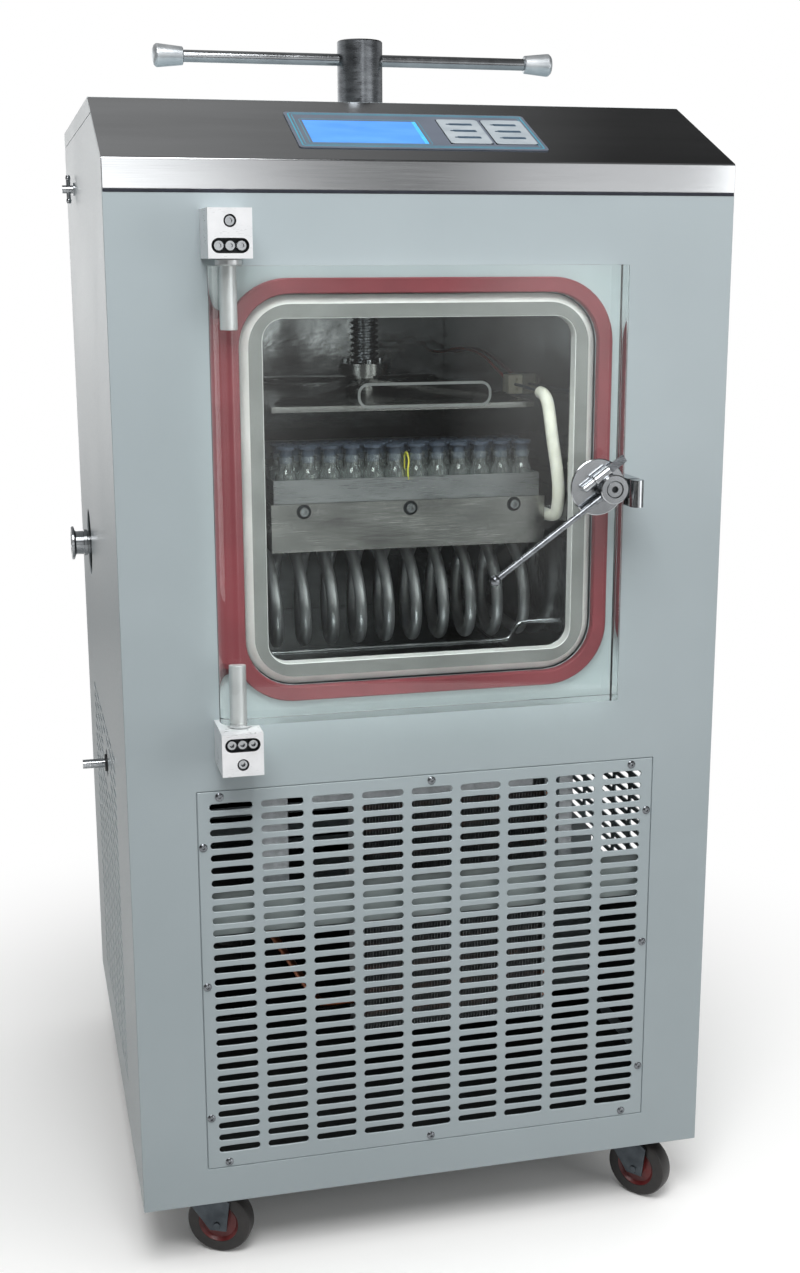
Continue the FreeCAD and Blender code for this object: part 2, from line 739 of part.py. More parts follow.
def hinge_pins():
    """Turned pins with a collar each, fixed in the door's edge."""
    gap = 0.3
    upper_collar = (DOOR_TOP, UPPER_BLOCK[0] - gap)
    lower_collar = (LOWER_BLOCK[1] + gap, DOOR_FOOT)
    pins = []
    for pin, collar in ((UPPER_PIN, upper_collar), (LOWER_PIN, lower_collar)):
        pins.append(fused([
            rod(PIN_RADIUS, (HINGE_X, HINGE_Y, pin[0]), (HINGE_X, HINGE_Y, pin[1])),
            rod(COLLAR_RADIUS, (HINGE_X, HINGE_Y, collar[0]), (HINGE_X, HINGE_Y, collar[1])),
        ]))
    return pins


# ---------------------------------------------------------------- door and latch


def door_plate():
    """Thick clear plate with a bull-nosed hinge edge, so that it swings clear of the seal."""
    slab = box(HINGE_X, DOOR_RIGHT, DOOR_FACE, DOOR_BACK, DOOR_FOOT, DOOR_TOP)
    far = [e for e in edges_along(slab, Vector(0, 0, 1)) if e.CenterOfMass.x > 0]
    slab = slab.makeFillet(3, far)
    nose = round_rod(HINGE_EDGE, (HINGE_X, HINGE_Y, DOOR_FOOT), (HINGE_X, HINGE_Y, DOOR_TOP))
    slab = fused([slab, nose])
    for z0, z1 in ((UPPER_PIN[0], DOOR_TOP + 1), (DOOR_FOOT - 1, LOWER_PIN[1])):
        slab = slab.cut(rod(PIN_RADIUS, (HINGE_X, HINGE_Y, z0), (HINGE_X, HINGE_Y, z1)))
    return slab.cut(rod(STUD_RADIUS, (LATCH_X, DOOR_FACE - 1, LATCH_Z), (LATCH_X, DOOR_FACE + 20, LATCH_Z)))


def latch_pivot():
    """Disc on the door's face, with the stud that the latch turns on and the stud's head."""
    disc = rod(27, (150, DOOR_FACE - DISC_THICK, 805), (150, DOOR_FACE, 805), 24)
    stud = rod(STUD_RADIUS, (LATCH_X, STUD_HEAD_FOOT, LATCH_Z), (LATCH_X, DOOR_FACE + 20, LATCH_Z))
    head = rod(STUD_HEAD_RADIUS, (LATCH_X, STUD_HEAD_TOP, LATCH_Z), (LATCH_X, STUD_HEAD_FOOT, LATCH_Z))
    return fused([disc, stud, head])


def latch_direction(angle):
    return Vector(math.cos(math.radians(angle)), 0, math.sin(math.radians(angle)))


def latch_point(along, across, y):
    """Point on the latch, measured along its lever and across to the bar's side."""
    lever = latch_direction(LEVER_ANGLE)
    aside = latch_direction(LEVER_ANGLE - 90)
    return tuple(Vector(LATCH_X, y, LATCH_Z) + lever * along + aside * across)


def latch_hub():
    """Hub with a counterbore for the stud's head and a lug that carries the cross bar."""
    gap = 0.3
    back = DOOR_FACE - DISC_THICK - gap
    hub = rod(14, (LATCH_X, STUD_HEAD_TOP - gap, LATCH_Z), (LATCH_X, back, LATCH_Z), 16)
    lug = rod(6.5, latch_point(-8, BAR_OFFSET, BAR_Y - 1.5), latch_point(10, BAR_OFFSET, BAR_Y - 1.5))
    trim = box(LATCH_X - 60, LATCH_X + 60, back, 0, LATCH_Z - 60, LATCH_Z + 60)
    hub = fused([hub, lug]).cut(trim)
    counterbore = (LATCH_X, STUD_HEAD_TOP - 1, LATCH_Z), (LATCH_X, STUD_HEAD_FOOT + gap, LATCH_Z)
    hub = hub.cut(bore(STUD_HEAD_RADIUS + gap, *counterbore))
    hub = hub.cut(bore(STUD_RADIUS + RUNNING_FIT, (LATCH_X, STUD_HEAD_FOOT, LATCH_Z), (LATCH_X, 0, LATCH_Z)))
    return hub.cut(rod(BAR_RADIUS, latch_point(-30, BAR_OFFSET, BAR_Y), latch_point(30, BAR_OFFSET, BAR_Y)))


def latch_lever():
    """Round lever ending in a ball."""
    direction = latch_direction(LEVER_ANGLE)
    bar = rod(LEVER_RADIUS, latch_point(14, 0, LEVER_Y), latch_point(LEVER_REACH - 4, 0, LEVER_Y))
    ball = turned(latch_point(LEVER_REACH, 0, LEVER_Y), direction, ball_profile(LEVER_BALL))
    return fused([bar, ball])


def ball_profile(radius, bands=6):
    """Distances along the axis and radii of the rings of a ball."""
    profile = []
    for band in range(bands + 1):
        angle = math.pi * (0.08 + 0.84 * band / bands)
        profile.append((-radius * math.cos(angle), radius * math.sin(angle)))
    return profile


def latch_bar():
    """Cross bar with a flattened end that enters the keeper."""
    flat_from = -4
    bar = rod(BAR_RADIUS, latch_point(flat_from, BAR_OFFSET, BAR_Y), latch_point(23, BAR_OFFSET, BAR_Y))
    end = rod(BAR_RADIUS, latch_point(-27, BAR_OFFSET, BAR_Y), latch_point(flat_from, BAR_OFFSET, BAR_Y))
    flat = box(LATCH_X - 80, LATCH_X + 80, BAR_Y - 0.4, BAR_Y + BAR_RADIUS, LATCH_Z - 80, LATCH_Z + 80)
    return fused([bar, end.common(flat)])


def latch_keeper():
    """Post beside the door with an upward-open hook for the latch bar."""
    middle = (KEEPER_LEFT + KEEPER_RIGHT) / 2
    body = box(KEEPER_LEFT, KEEPER_RIGHT, KEEPER_NOSE, 0, KEEPER_FOOT, KEEPER_TOP)
    nose = rod(KEEPER_NOSE_RADIUS, (middle, KEEPER_NOSE, KEEPER_FOOT), (middle, KEEPER_NOSE, KEEPER_TOP))
    slot = box(KEEPER_LEFT - 1, KEEPER_RIGHT + 1, SLOT_FRONT, SLOT_BACK, SLOT_FLOOR, KEEPER_TOP + 1)
    return fused([body, nose]).cut(slot)


# ---------------------------------------------------------------- press


def screw_nut():
    """Gland on the chamber's roof: a square flange with a six-sided nut, bored for the screw."""
    roof = CHAMBER_FOOT + CHAMBER_HEIGHT + CHAMBER_WALL
    flange = box(CHAMBER_X - 34, CHAMBER_X + 34, PRESS_Y - 34, PRESS_Y + 34, roof, roof + 8)
    nut = rod(27, (CHAMBER_X, PRESS_Y, roof + 8), (CHAMBER_X, PRESS_Y, roof + 28), 6)
    hole = (CHAMBER_X, PRESS_Y, roof - 5), (CHAMBER_X, PRESS_Y, roof + 30)
    return fused([flange, nut]).cut(bore(SCREW_RADIUS + RUNNING_FIT, *hole, 24))


def lead_screw():
    return rod(SCREW_RADIUS, (CHAMBER_X, PRESS_Y, HUB_TOP - HUB_DEPTH), (CHAMBER_X, PRESS_Y, HEAD_FOOT), 24)


def handle_head():
    """Round head over the screw, cross-bored for the tommy bar."""
    head = turned(
        (CHAMBER_X, PRESS_Y, 0), (0, 0, 1),
        ((HEAD_FOOT, HEAD_RADIUS), (HEAD_TOP - 1.5, HEAD_RADIUS), (HEAD_TOP, HEAD_RADIUS - 1.5)), 24,
    )
    reach = HEAD_RADIUS + 10
    hole = (CHAMBER_X - reach, PRESS_Y, HANDLE_Z), (CHAMBER_X + reach, PRESS_Y, HANDLE_Z)
    return head.cut(rod(HANDLE_RADIUS, *hole))


def handle_bar():
    return rod(HANDLE_RADIUS, (HANDLE_LEFT, PRESS_Y, HANDLE_Z), (HANDLE_RIGHT, PRESS_Y, HANDLE_Z))


def handle_knob(inner, out):
    """Tapered knob, wider at its end, with a bevelled face."""
    profile = ((0, 9), (28, 12), (31, 9.5))
    return turned((inner, PRESS_Y, HANDLE_Z), (out, 0, 0), profile)


def press_head():
    """Hub that the screw's end turns in, with four arms down to the plate's corners."""
    top = PRESS_PLATE_Z + PRESS_PLATE_THICK
    hub = fused([
        rod(28, (CHAMBER_X, PRESS_Y, HUB_TOP - 12), (CHAMBER_X, PRESS_Y, HUB_TOP), 24),
        rod(21, (CHAMBER_X, PRESS_Y, top), (CHAMBER_X, PRESS_Y, HUB_TOP - 12)),
    ])
    arms = []
    for x, y in ((1, 1), (1, -1), (-1, 1), (-1, -1)):
        angle = math.degrees(math.atan2(y * 160, x * 112))
        outline = [(15, -15, 8), (15, -15, 14), (178, -15, 6), (196, -15, 0), (160, -15, 0)]
        arm = plate(outline, (0, 30, 0))
        arm.Placement = Placement(Vector(CHAMBER_X, PRESS_Y, top), Rotation(Vector(0, 0, 1), angle))
        arms.append(arm)
    head = fused([hub] + arms)
    foot = (CHAMBER_X, PRESS_Y, HUB_TOP - HUB_DEPTH - 0.3)
    return head.cut(bore(SCREW_RADIUS + RUNNING_FIT, foot, (CHAMBER_X, PRESS_Y, HUB_TOP + 10), 24))


def press_plate():
    return box(
        CHAMBER_X - 132, CHAMBER_X + 132, PRESS_Y - 181, PRESS_Y + 181,
        PRESS_PLATE_Z, PRESS_PLATE_Z + PRESS_PLATE_THICK,
    )


# ---------------------------------------------------------------- side fittings


def vacuum_port():
    """Pipe from the chamber to a small vacuum flange, DN 25."""
    wall = CHAMBER_X - CHAMBER_WIDTH / 2 - CHAMBER_WALL
    end = -321.5
    pipe = rod(13.8, (end, PORT_Y, PORT_Z), (wall, PORT_Y, PORT_Z), 12)
    lip = round_rod(20, (end, PORT_Y, PORT_Z), (end + 3, PORT_Y, PORT_Z))
    taper = turned((end + 3, PORT_Y, PORT_Z), (1, 0, 0), ((0, 19), (1.6, 14)), 12)
    return fused([pipe, lip, taper]).cut(rod(12, (end - 1, PORT_Y, PORT_Z), (wall + 1, PORT_Y, PORT_Z)))


def drain_tube():
    """Drain from the chamber's floor, bent out through the left panel."""
    path = [(-120, DRAIN_Y, CHAMBER_FOOT - CHAMBER_WALL), (-120, DRAIN_Y, DRAIN_Z), (-327, DRAIN_Y, DRAIN_Z)]
    stations = route(path, 40)
    bend = faceted_tube(stations[:-1] + [Vector(-300, DRAIN_Y, DRAIN_Z)], 5.25, 8)
    return fused([bend, round_rod(5.25, (-327, DRAIN_Y, DRAIN_Z), (-300, DRAIN_Y, DRAIN_Z))])


def vent_valve():
    body = rod(12, (-INSIDE, VALVE_Y, VALVE_Z), (-264, VALVE_Y, VALVE_Z), 6)
    neck = rod(7, (-302, VALVE_Y, VALVE_Z), (-INSIDE, VALVE_Y, VALVE_Z))
    return fused([body, neck]).cut(bore(4.5 + RUNNING_FIT, (-303, VALVE_Y, VALVE_Z), (-280, VALVE_Y, VALVE_Z)))


def valve_handle():
    """Valve stem with a wing bar across it."""
    stem = rod(4.5, (-314, VALVE_Y, VALVE_Z), (-280.3, VALVE_Y, VALVE_Z))
    wing = rod(2.5, (-307, VALVE_Y, VALVE_Z - 15.5), (-307, VALVE_Y, VALVE_Z + 15.5), 8)
    return fused([stem, wing])


# ---------------------------------------------------------------- machine bay


def compressor():
    """Hermetic compressor: a domed can on a foot plate."""
    x, y = COMPRESSOR_X, COMPRESSOR_Y
    foot = box(x - 95, x + 95, y - 70, y + 70, BAY_FLOOR, BAY_FLOOR + 6)
    can = turned((x, y, BAY_FLOOR), (0, 0, 1), ((6, 78), (165, 78), (190, 64), (200, 35)), 20)
    return fused([foot, can])


def air_condenser():
    """Finned block with end plates and return bends."""
    block = box(-60, 143, 74, 106, 210, 480)
    ends = [box(x, x + 2, 70, 110, 205, 485) for x in (-62, 143)]
    bends = []
    for row in range(5):
        z = 228 + row * 50
        path = [(145, 90, z), (157, 90, z), (157, 90, z + 25), (145, 90, z + 25)]
        bends.append(faceted_tube([Vector(*point) for point in path], 4, 4))
    return fused([block] + ends + bends)


def fan_shroud():
    """Square plate with a ring for the fan, and a motor on two arms."""
    x, z = FAN_X, FAN_Z
    body = box(x - 102, x + 100, 110, 116, z - 135, z + 135)
    ring = rod(101, (x, 116, z), (x, 150, z), 20)
    body = fused([body, ring]).cut(bore(97, (x, 109, z), (x, 151, z), 20))
    arms = [box(x - 98.5, x - 20, 144, 150, z - 4, z + 4), box(x + 20, x + 98.5, 144, 150, z - 4, z + 4)]
    motor = rod(26, (x, 142, z), (x, 175, z))
    return fused([body] + arms + [motor])


def fan():
    """Fan wheel: a hub with five twisted blades."""
    x, z = FAN_X, FAN_Z
    hub = rod(30, (x, 120, z), (x, 141, z))
    blades = []
    for index in range(5):
        inner = blade_end(25, 24, 34)
        outer = blade_end(92, 34, 20)
        blade = skinned([inner, outer])
        blade.rotate(Vector(0, 0, 0), Vector(0, 1, 0), index * 72)
        blade.translate(Vector(x, 130, z))
        blades.append(blade)
    return fused([hub] + blades)


def blade_end(radius, half_chord, pitch):
    """Thin rectangle across a blade, at a radius along x."""
    tilt = math.radians(pitch)
    along = Vector(0, math.sin(tilt), math.cos(tilt)) * (half_chord / 2)
    thick = Vector(0, math.cos(tilt), -math.sin(tilt)) * 0.8
    middle = Vector(radius, 0, 0)
    return [middle + along + thick, middle - along + thick, middle - along - thick, middle + along - thick]


def copper_pipes():
    """Refrigerant pipes from the compressor to the air condenser and up to the chamber."""
    suction = [(-192, 440, 240), (-235, 440, 240), (-235, 440, 540), (-185, 470, 600), (-185, 500, 730)]
    liquid = [(-120, 366, 240), (-120, 300, 240), (-100, 91, 240), (-62, 91, 240)]
    return [faceted_tube(route(path, 30, 2), 4.8, 6) for path in (suction, liquid)]


def electric_box():
    return box(150, 285, 300, 560, 120, 330)


# ---------------------------------------------------------------- casters


def caster_fork():
    """Swivel fork under the base pan: its ball race, a hood with two cheeks and the axle."""
    race = rod(19, (0, 0, 72), (0, 0, PAN_Z))
    outline = [(-20, 74), (16, 74), (34, 62), (30, 28), (12, 28), (-14, 62)]
    hood = plate([(x, -15, z) for x, z in outline], (0, 30, 0))
    inside = plate([(x, -12.5, z) for x, z in [(-40, 71.5), (50, 71.5), (50, 0), (-40, 0)]], (0, 25, 0))
    axle = rod(AXLE_RADIUS, (TRAIL, -17, WHEEL_RADIUS), (TRAIL, 17, WHEEL_RADIUS), 8)
    return fused([race, hood.cut(inside), axle])


def caster_wheel():
    """Wheel with a rounded tread, bored for its axle."""
    half = WHEEL_WIDTH / 2
    rim = WHEEL_RADIUS / math.cos(math.pi / WHEEL_SIDES)
    profile = ((-half, rim - 4), (4 - half, rim), (half - 4, rim), (half, rim - 4))
    wheel = turned((TRAIL, 0, WHEEL_RADIUS), (0, 1, 0), profile, WHEEL_SIDES)
    hole = (TRAIL, -half - 1, WHEEL_RADIUS), (TRAIL, half + 1, WHEEL_RADIUS)
    return wheel.cut(bore(AXLE_RADIUS + 0.1, *hole, 8))


def casters():
    """Four casters, each turned its own way about its stem."""
    for name, turn in CASTER_TURNS.items():
        x = -CASTER_X if name.endswith("left") else CASTER_X
        y = CASTER_YS[0] if name.startswith("front") else CASTER_YS[1]
        for part, shape in (("fork", caster_fork()), ("wheel", caster_wheel())):
            shape.rotate(Vector(0, 0, 0), Vector(0, 0, 1), turn)
            shape.translate(Vector(x, y, 0))
            save("caster_" + part + "_" + name, shape)


# ---------------------------------------------------------------- all pieces


def main():
    os.makedirs("parts", exist_ok=True)
    save("base_pan", base_pan())
    save("left_side_panel", side_panel(-1))
    save("right_side_panel", side_panel(1))
    save("front_panel", front_panel())
    save("rear_panel", rear_panel())
    save("power_inlet", power_inlet())
    save("top_cover", top_cover())
    save("control_hood", control_hood())
    save("inner_frame", *inner_frame())
    save("front_grille", front_grille())
    save("grille_screws", *grille_screws())
    save("control_overlay", control_overlay())
    save("key_pad_left", key_pad(KEYS_X[0]))
    save("key_pad_right", key_pad(KEYS_X[1]))
    save("chamber_box", chamber_box())
    save("chamber_flange", chamber_flange())
    save("door_seal", door_seal())
    save("shelf", shelf())
    save("tray", tray())
    save("vials", *[vial(x, y) for x, y in vial_places()])
    save("stoppers", *[stopper(x, y) for x, y in vial_places()])
    save("condenser_coil", condenser_coil())
    save("defrost_pipe", defrost_pipe())
    save("shelf_hose", shelf_hose())
    save("temperature_probe", temperature_probe())
    save("hinge_block_upper", hinge_block(UPPER_BLOCK, UPPER_SCREWS))
    save("hinge_block_lower", hinge_block(LOWER_BLOCK, LOWER_SCREWS))
    save("cap_screws", *cap_screws())
    save("hinge_pins", *hinge_pins())
    save("door_plate", door_plate())
    save("latch_pivot", latch_pivot())
    save("latch_hub", latch_hub())
    save("latch_lever", latch_lever())
    save("latch_bar", latch_bar())
    save("latch_keeper", latch_keeper())
    save("screw_nut", screw_nut())
    save("lead_screw", lead_screw())
    save("handle_head", handle_head())
    save("handle_bar", handle_bar())
    save("handle_knobs", handle_knob(HANDLE_LEFT, -1), handle_knob(HANDLE_RIGHT, 1))
    save("press_head", press_head())
    save("press_plate", press_plate())
    save("vacuum_port", vacuum_port())
    save("drain_tube", drain_tube())
    save("vent_valve", vent_valve())
    save("valve_handle", valve_handle())
    save("compressor", compressor())
    save("air_condenser", air_condenser())
    save("fan_shroud", fan_shroud())
    save("fan", fan())
    save("copper_pipes", *copper_pipes())
    save("electric_box", electric_box())
    casters()


main()
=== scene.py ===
import json
import math

import bmesh
import bpy
from mathutils import Matrix, Vector

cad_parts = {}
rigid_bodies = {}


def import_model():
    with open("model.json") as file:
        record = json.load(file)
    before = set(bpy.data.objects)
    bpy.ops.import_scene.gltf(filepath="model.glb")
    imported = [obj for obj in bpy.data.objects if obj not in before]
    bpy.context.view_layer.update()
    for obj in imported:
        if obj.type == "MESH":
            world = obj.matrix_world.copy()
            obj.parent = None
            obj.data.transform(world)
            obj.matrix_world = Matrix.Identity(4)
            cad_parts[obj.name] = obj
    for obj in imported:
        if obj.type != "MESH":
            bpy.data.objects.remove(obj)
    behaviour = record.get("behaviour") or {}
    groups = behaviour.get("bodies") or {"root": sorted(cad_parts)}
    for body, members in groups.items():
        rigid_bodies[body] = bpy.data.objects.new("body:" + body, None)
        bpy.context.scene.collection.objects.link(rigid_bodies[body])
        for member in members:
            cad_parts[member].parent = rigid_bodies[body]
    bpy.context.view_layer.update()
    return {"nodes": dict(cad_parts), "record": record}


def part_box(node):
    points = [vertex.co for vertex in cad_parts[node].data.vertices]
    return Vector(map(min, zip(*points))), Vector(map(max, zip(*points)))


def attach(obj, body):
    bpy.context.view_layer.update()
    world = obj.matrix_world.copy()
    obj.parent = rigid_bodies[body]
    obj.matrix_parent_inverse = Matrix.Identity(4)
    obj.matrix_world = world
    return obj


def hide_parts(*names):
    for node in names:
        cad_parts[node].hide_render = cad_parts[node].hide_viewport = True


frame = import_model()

nodes = frame["nodes"]
panelLow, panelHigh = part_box("front_panel")
cabinet = Vector(((panelLow.x + panelHigh.x) / 2, panelLow.y, 0))  # on the floor under the middle of the front face


def at(x, y, z):  # a place in millimetres from the cabinet's middle, front face and floor
    return cabinet + Vector((x, y, z)) / 1000


def fromCabinet(place):  # the same the other way round
    return (place - cabinet) * 1000


# Modelling steps that every piece shares

def clear():
    if bpy.context.mode != "OBJECT":
        bpy.ops.object.mode_set(mode="OBJECT")
    bpy.ops.object.select_all(action="DESELECT")


def take(piece):
    clear()
    piece.select_set(True)
    bpy.context.view_layer.objects.active = piece
    return piece


def opened(piece):  # in edit mode, with all of it selected
    take(piece)
    bpy.ops.object.mode_set(mode="EDIT")
    bpy.ops.mesh.select_all(action="SELECT")


def settle(piece, name):  # the place goes into the mesh, and the object back to the origin
    take(piece)
    bpy.ops.object.transform_apply(location=True, rotation=True, scale=True)
    piece.name = piece.data.name = name
    return piece


def pick(piece, kind, test):  # selects in edit mode what passes the test, by its middle in cabinet millimetres
    opened(piece)
    bpy.ops.mesh.select_mode(type=kind)
    bpy.ops.mesh.select_all(action="DESELECT")
    shape = bmesh.from_edit_mesh(piece.data)
    shape.normal_update()
    for part in {"VERT": shape.verts, "EDGE": shape.edges, "FACE": shape.faces}[kind]:
        middle = part.co if kind == "VERT" else sum((v.co for v in part.verts), Vector()) / len(part.verts)
        facing = part.normal if kind != "EDGE" else (part.verts[1].co - part.verts[0].co).normalized()
        if test(fromCabinet(middle), facing):
            part.select_set(True)
    shape.select_flush_mode()
    bmesh.update_edit_mesh(piece.data)


def modified(piece, kind, **settings):
    take(piece)
    bpy.ops.object.modifier_add(type=kind)
    modifier = piece.modifiers[-1]
    for setting, value in settings.items():
        setattr(modifier, setting, value)
    bpy.ops.object.modifier_apply(modifier=modifier.name)
    return piece


def arrayed(piece, count, step):  # a row of copies, step in metres
    return modified(piece, "ARRAY", count=count, use_relative_offset=False, use_constant_offset=True,
        constant_offset_displace=step)


def eased(piece, width, segments=2, angle=35):  # rounds the sharp edges, width in millimetres
    return modified(piece, "BEVEL", width=width / 1000, segments=segments, limit_method="ANGLE",
        angle_limit=math.radians(angle), miter_outer="MITER_ARC")


def roundedCorners(piece, radius, steps=6, along=2):  # rounds the edges that run along an axis, 2 being z
    pick(piece, "EDGE", lambda middle, facing: abs(facing[along]) > 0.9)
    bpy.ops.mesh.bevel(offset=radius / 1000, segments=steps)
    clear()
    return piece


def cut(piece, cutter):
    modified(piece, "BOOLEAN", operation="DIFFERENCE", object=cutter, solver="EXACT")
    take(cutter)
    bpy.ops.object.delete()
    return piece


def joined(pieces):
    clear()
    for piece in pieces:
        piece.select_set(True)
    bpy.context.view_layer.objects.active = pieces[0]
    bpy.ops.object.join()
    return pieces[0]


def repeated(piece, places):  # one copy, with its own mesh, at each place
    copies = []
    for place in places:
        take(piece)
        bpy.ops.object.duplicate()
        bpy.context.object.location = place
        copies.append(bpy.context.object)
    take(piece)
    bpy.ops.object.delete()
    return joined(copies)


def block(low, high):  # a box between two corners
    clear()
    bpy.ops.mesh.primitive_cube_add(size=1, location=(low + high) / 2)
    bpy.context.object.scale = high - low
    return settle(bpy.context.object, "block")


def chain(points):  # a run of edges through points, in metres
    clear()
    bpy.ops.mesh.primitive_plane_add(size=0.01)
    opened(bpy.context.object)
    bpy.ops.mesh.select_mode(type="VERT")
    bpy.ops.mesh.merge(type="CENTER")
    bpy.ops.transform.translate(value=points[0])
    for here, there in zip(points, points[1:]):
        bpy.ops.mesh.extrude_region_move(TRANSFORM_OT_translate={"value": Vector(there) - Vector(here)})
    clear()
    return bpy.context.object


def tidied(piece):  # one closed skin that faces outwards
    opened(piece)
    bpy.ops.mesh.remove_doubles(threshold=0.000001)
    bpy.ops.mesh.normals_make_consistent(inside=False)
    clear()
    return piece


def turned(start, direction, profile, steps=48):  # a lathe shape: pairs of distance along the axis and radius
    piece = chain([(radius / 1000, 0, along / 1000) for along, radius in profile])
    modified(piece, "SCREW", angle=2 * math.pi, steps=steps, render_steps=steps, use_merge_vertices=True,
        merge_threshold=0.000001)
    tidied(piece)
    piece.rotation_euler = Vector(direction).to_track_quat("Z", "Y").to_euler()
    piece.location = start
    return settle(piece, "turned")


def bar(start, end, radius, steps=32, ease=0.6):
    length = (end - start).length * 1000
    profile = ((0, 0), (0, radius - ease), (ease, radius), (length - ease, radius), (length, radius - ease),
        (length, 0))
    return turned(start, end - start, profile, steps)


# a smooth bent tube through the middles of its runs, points in cabinet millimetres
def tube(points, radius, around=4):
    clear()
    bpy.ops.curve.primitive_nurbs_path_add()
    piece = bpy.context.object
    spline = piece.data.splines[0]
    spline.points.add(max(0, len(points) - len(spline.points)))
    for point, place in zip(spline.points, points):
        point.co = (*at(*place), 1)
    spline.order_u = 3
    spline.use_endpoint_u = True
    spline.resolution_u = 8
    piece.data.bevel_depth = radius / 1000
    piece.data.bevel_resolution = around
    piece.data.use_fill_caps = True
    bpy.ops.object.convert(target="MESH")
    return tidied(bpy.context.object)


def roundedLoop(width, height, radius, y, middle, steps=12):  # an upright rounded rectangle, facing the front
    clear()
    bpy.ops.mesh.primitive_plane_add(size=1, location=at(middle[0], y, middle[1]), rotation=(math.pi / 2, 0, 0))
    loop = bpy.context.object
    loop.scale = (width / 1000, height / 1000, 1)
    opened(settle(loop, "loop"))
    bpy.ops.mesh.bevel(offset=radius / 1000, segments=steps, affect="VERTICES")
    bpy.ops.mesh.delete(type="ONLY_FACE")
    clear()
    return loop


def roundedFrame(loops, middle):  # a closed ring through (width, height, radius, y) loops
    bands = []
    for here, there in zip(loops, loops[1:] + loops[:1]):
        bands.append(joined([roundedLoop(*here, middle), roundedLoop(*there, middle)]))
        opened(bands[-1])
        bpy.ops.mesh.select_mode(type="EDGE")
        bpy.ops.mesh.select_all(action="SELECT")
        bpy.ops.mesh.bridge_edge_loops()
    return tidied(joined(bands))


def softened(node, width, segments=2, angle=30):  # a merged copy of a CAD node, with its sharp edges eased
    piece = bpy.data.objects.new(node + "Soft", nodes[node].data.copy())
    bpy.context.collection.objects.link(piece)
    opened(piece)
    bpy.ops.mesh.remove_doubles(threshold=0.000002)
    bpy.ops.mesh.dissolve_limited(angle_limit=math.radians(1))
    return eased(piece, width, segments, angle)


def finish(piece, name, material, stands=(), smooth=32, body="cabinet"):
    settle(piece, name)
    if material:
        piece.data.materials.clear()
        piece.data.materials.append(material)
    bpy.ops.object.shade_smooth_by_angle(angle=math.radians(smooth))
    modified(piece, "WEIGHTED_NORMAL", keep_sharp=True)  # flat faces stay flat beside their rounded edges
    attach(piece, body)
    if stands:
        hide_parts(*stands)
    return piece


# a CAD node as it is, with its edges eased
def carry(node, name, ease, material, segments=2, body="cabinet"):
    return finish(softened(node, ease, segments), name, material, [node], body=body)


def paintFaces(piece, materials, test):  # the second material goes on the faces that pass the test
    piece.data.materials.clear()
    for material in materials:
        piece.data.materials.append(material)
    for face in piece.data.polygons:
        face.material_index = 1 if test(fromCabinet(face.center), face.normal) else 0


# Materials

def colour(code):  # an sRGB hex value as linear light
    channels = [int(code[i:i + 2], 16) / 255 for i in (1, 3, 5)]
    return (*(c / 12.92 if c <= 0.04045 else ((c + 0.055) / 1.055) ** 2.4 for c in channels), 1)


def addNode(tree, kind, inputs=(), links=(), **settings):  # a link from a node is from its first output
    node = tree.nodes.new("ShaderNode" + kind)
    for setting, value in settings.items():
        setattr(node, setting, value)
    for socket, value in dict(inputs).items():
        node.inputs[socket].default_value = value
    for socket, source in dict(links).items():
        tree.links.new(source.outputs[0] if isinstance(source, bpy.types.Node) else source, node.inputs[socket])
    return node


def speckle(tree, place, size, detail):  # size in millimetres, one or along x, y and z
    scale = [1000 / mm for mm in (size if isinstance(size, tuple) else (size,) * 3)]
    mapping = addNode(tree, "Mapping", {"Scale": scale}, {"Vector": place})
    return addNode(tree, "TexNoise", {"Scale": 1, "Detail": detail}, {"Vector": mapping})


# A solid surface: two tones in soft patches, a range of roughness, and a fine grain that stands up by so many
# millimetres, at a strength. Arguments: name, two tones, patch size, grain size, roughness, strength, height.
def makeFinish(name, dark, pale, patch, grain, rough, strength, height, metal=0, shader=()):
    material = bpy.data.materials.new(name)
    material.use_nodes = True
    tree = material.node_tree
    surface = tree.nodes["Principled BSDF"]
    for socket, value in {"Metallic": metal, **dict(shader)}.items():
        surface.inputs[socket].default_value = value
    place = addNode(tree, "TexCoord").outputs["Object"]
    cloud = speckle(tree, place, patch, 4)
    tone = addNode(tree, "ValToRGB", links={"Fac": cloud})
    for stop, position, code in zip(tone.color_ramp.elements, (0.32, 0.68), (dark, pale)):
        stop.position = position
        stop.color = colour(code)
    fine = speckle(tree, place, grain, 3)
    blend = addNode(tree, "Math", {1: 0.5}, {0: cloud, 2: fine}, operation="MULTIPLY_ADD")
    gloss = addNode(tree, "MapRange", {"From Min": 0.5, "From Max": 1.0, "To Min": rough[0], "To Max": rough[1]},
        {"Value": blend})
    relief = addNode(tree, "Bump", {"Strength": strength, "Distance": height / 1000}, {"Height": fine})
    for socket, node in (("Base Color", tone), ("Roughness", gloss), ("Normal", relief)):
        tree.links.new(node.outputs[0], surface.inputs[socket])
    return material


def passLight(material):  # lamps reach through clear plastic and glass, so what stands behind them is lit
    tree = material.node_tree
    shader = tree.nodes["Principled BSDF"]
    shadow = addNode(tree, "LightPath").outputs["Is Shadow Ray"]
    seeThrough = addNode(tree, "BsdfTransparent", {"Color": (0.93, 0.95, 0.94, 1)})
    mix = addNode(tree, "MixShader", links={0: shadow, 1: shader, 2: seeThrough})
    tree.links.new(mix.outputs[0], tree.nodes["Material Output"].inputs["Surface"])
    return material


# Powder-coated sheet steel, grey-green: baked powder leaves a fine orange peel about 1.5 mm across.
cabinetPaint = makeFinish("powderCoatedSteel", "#A0ABAF", "#A8B3B7", 260, 1.7, (0.3, 0.42), 0.1, 0.25)
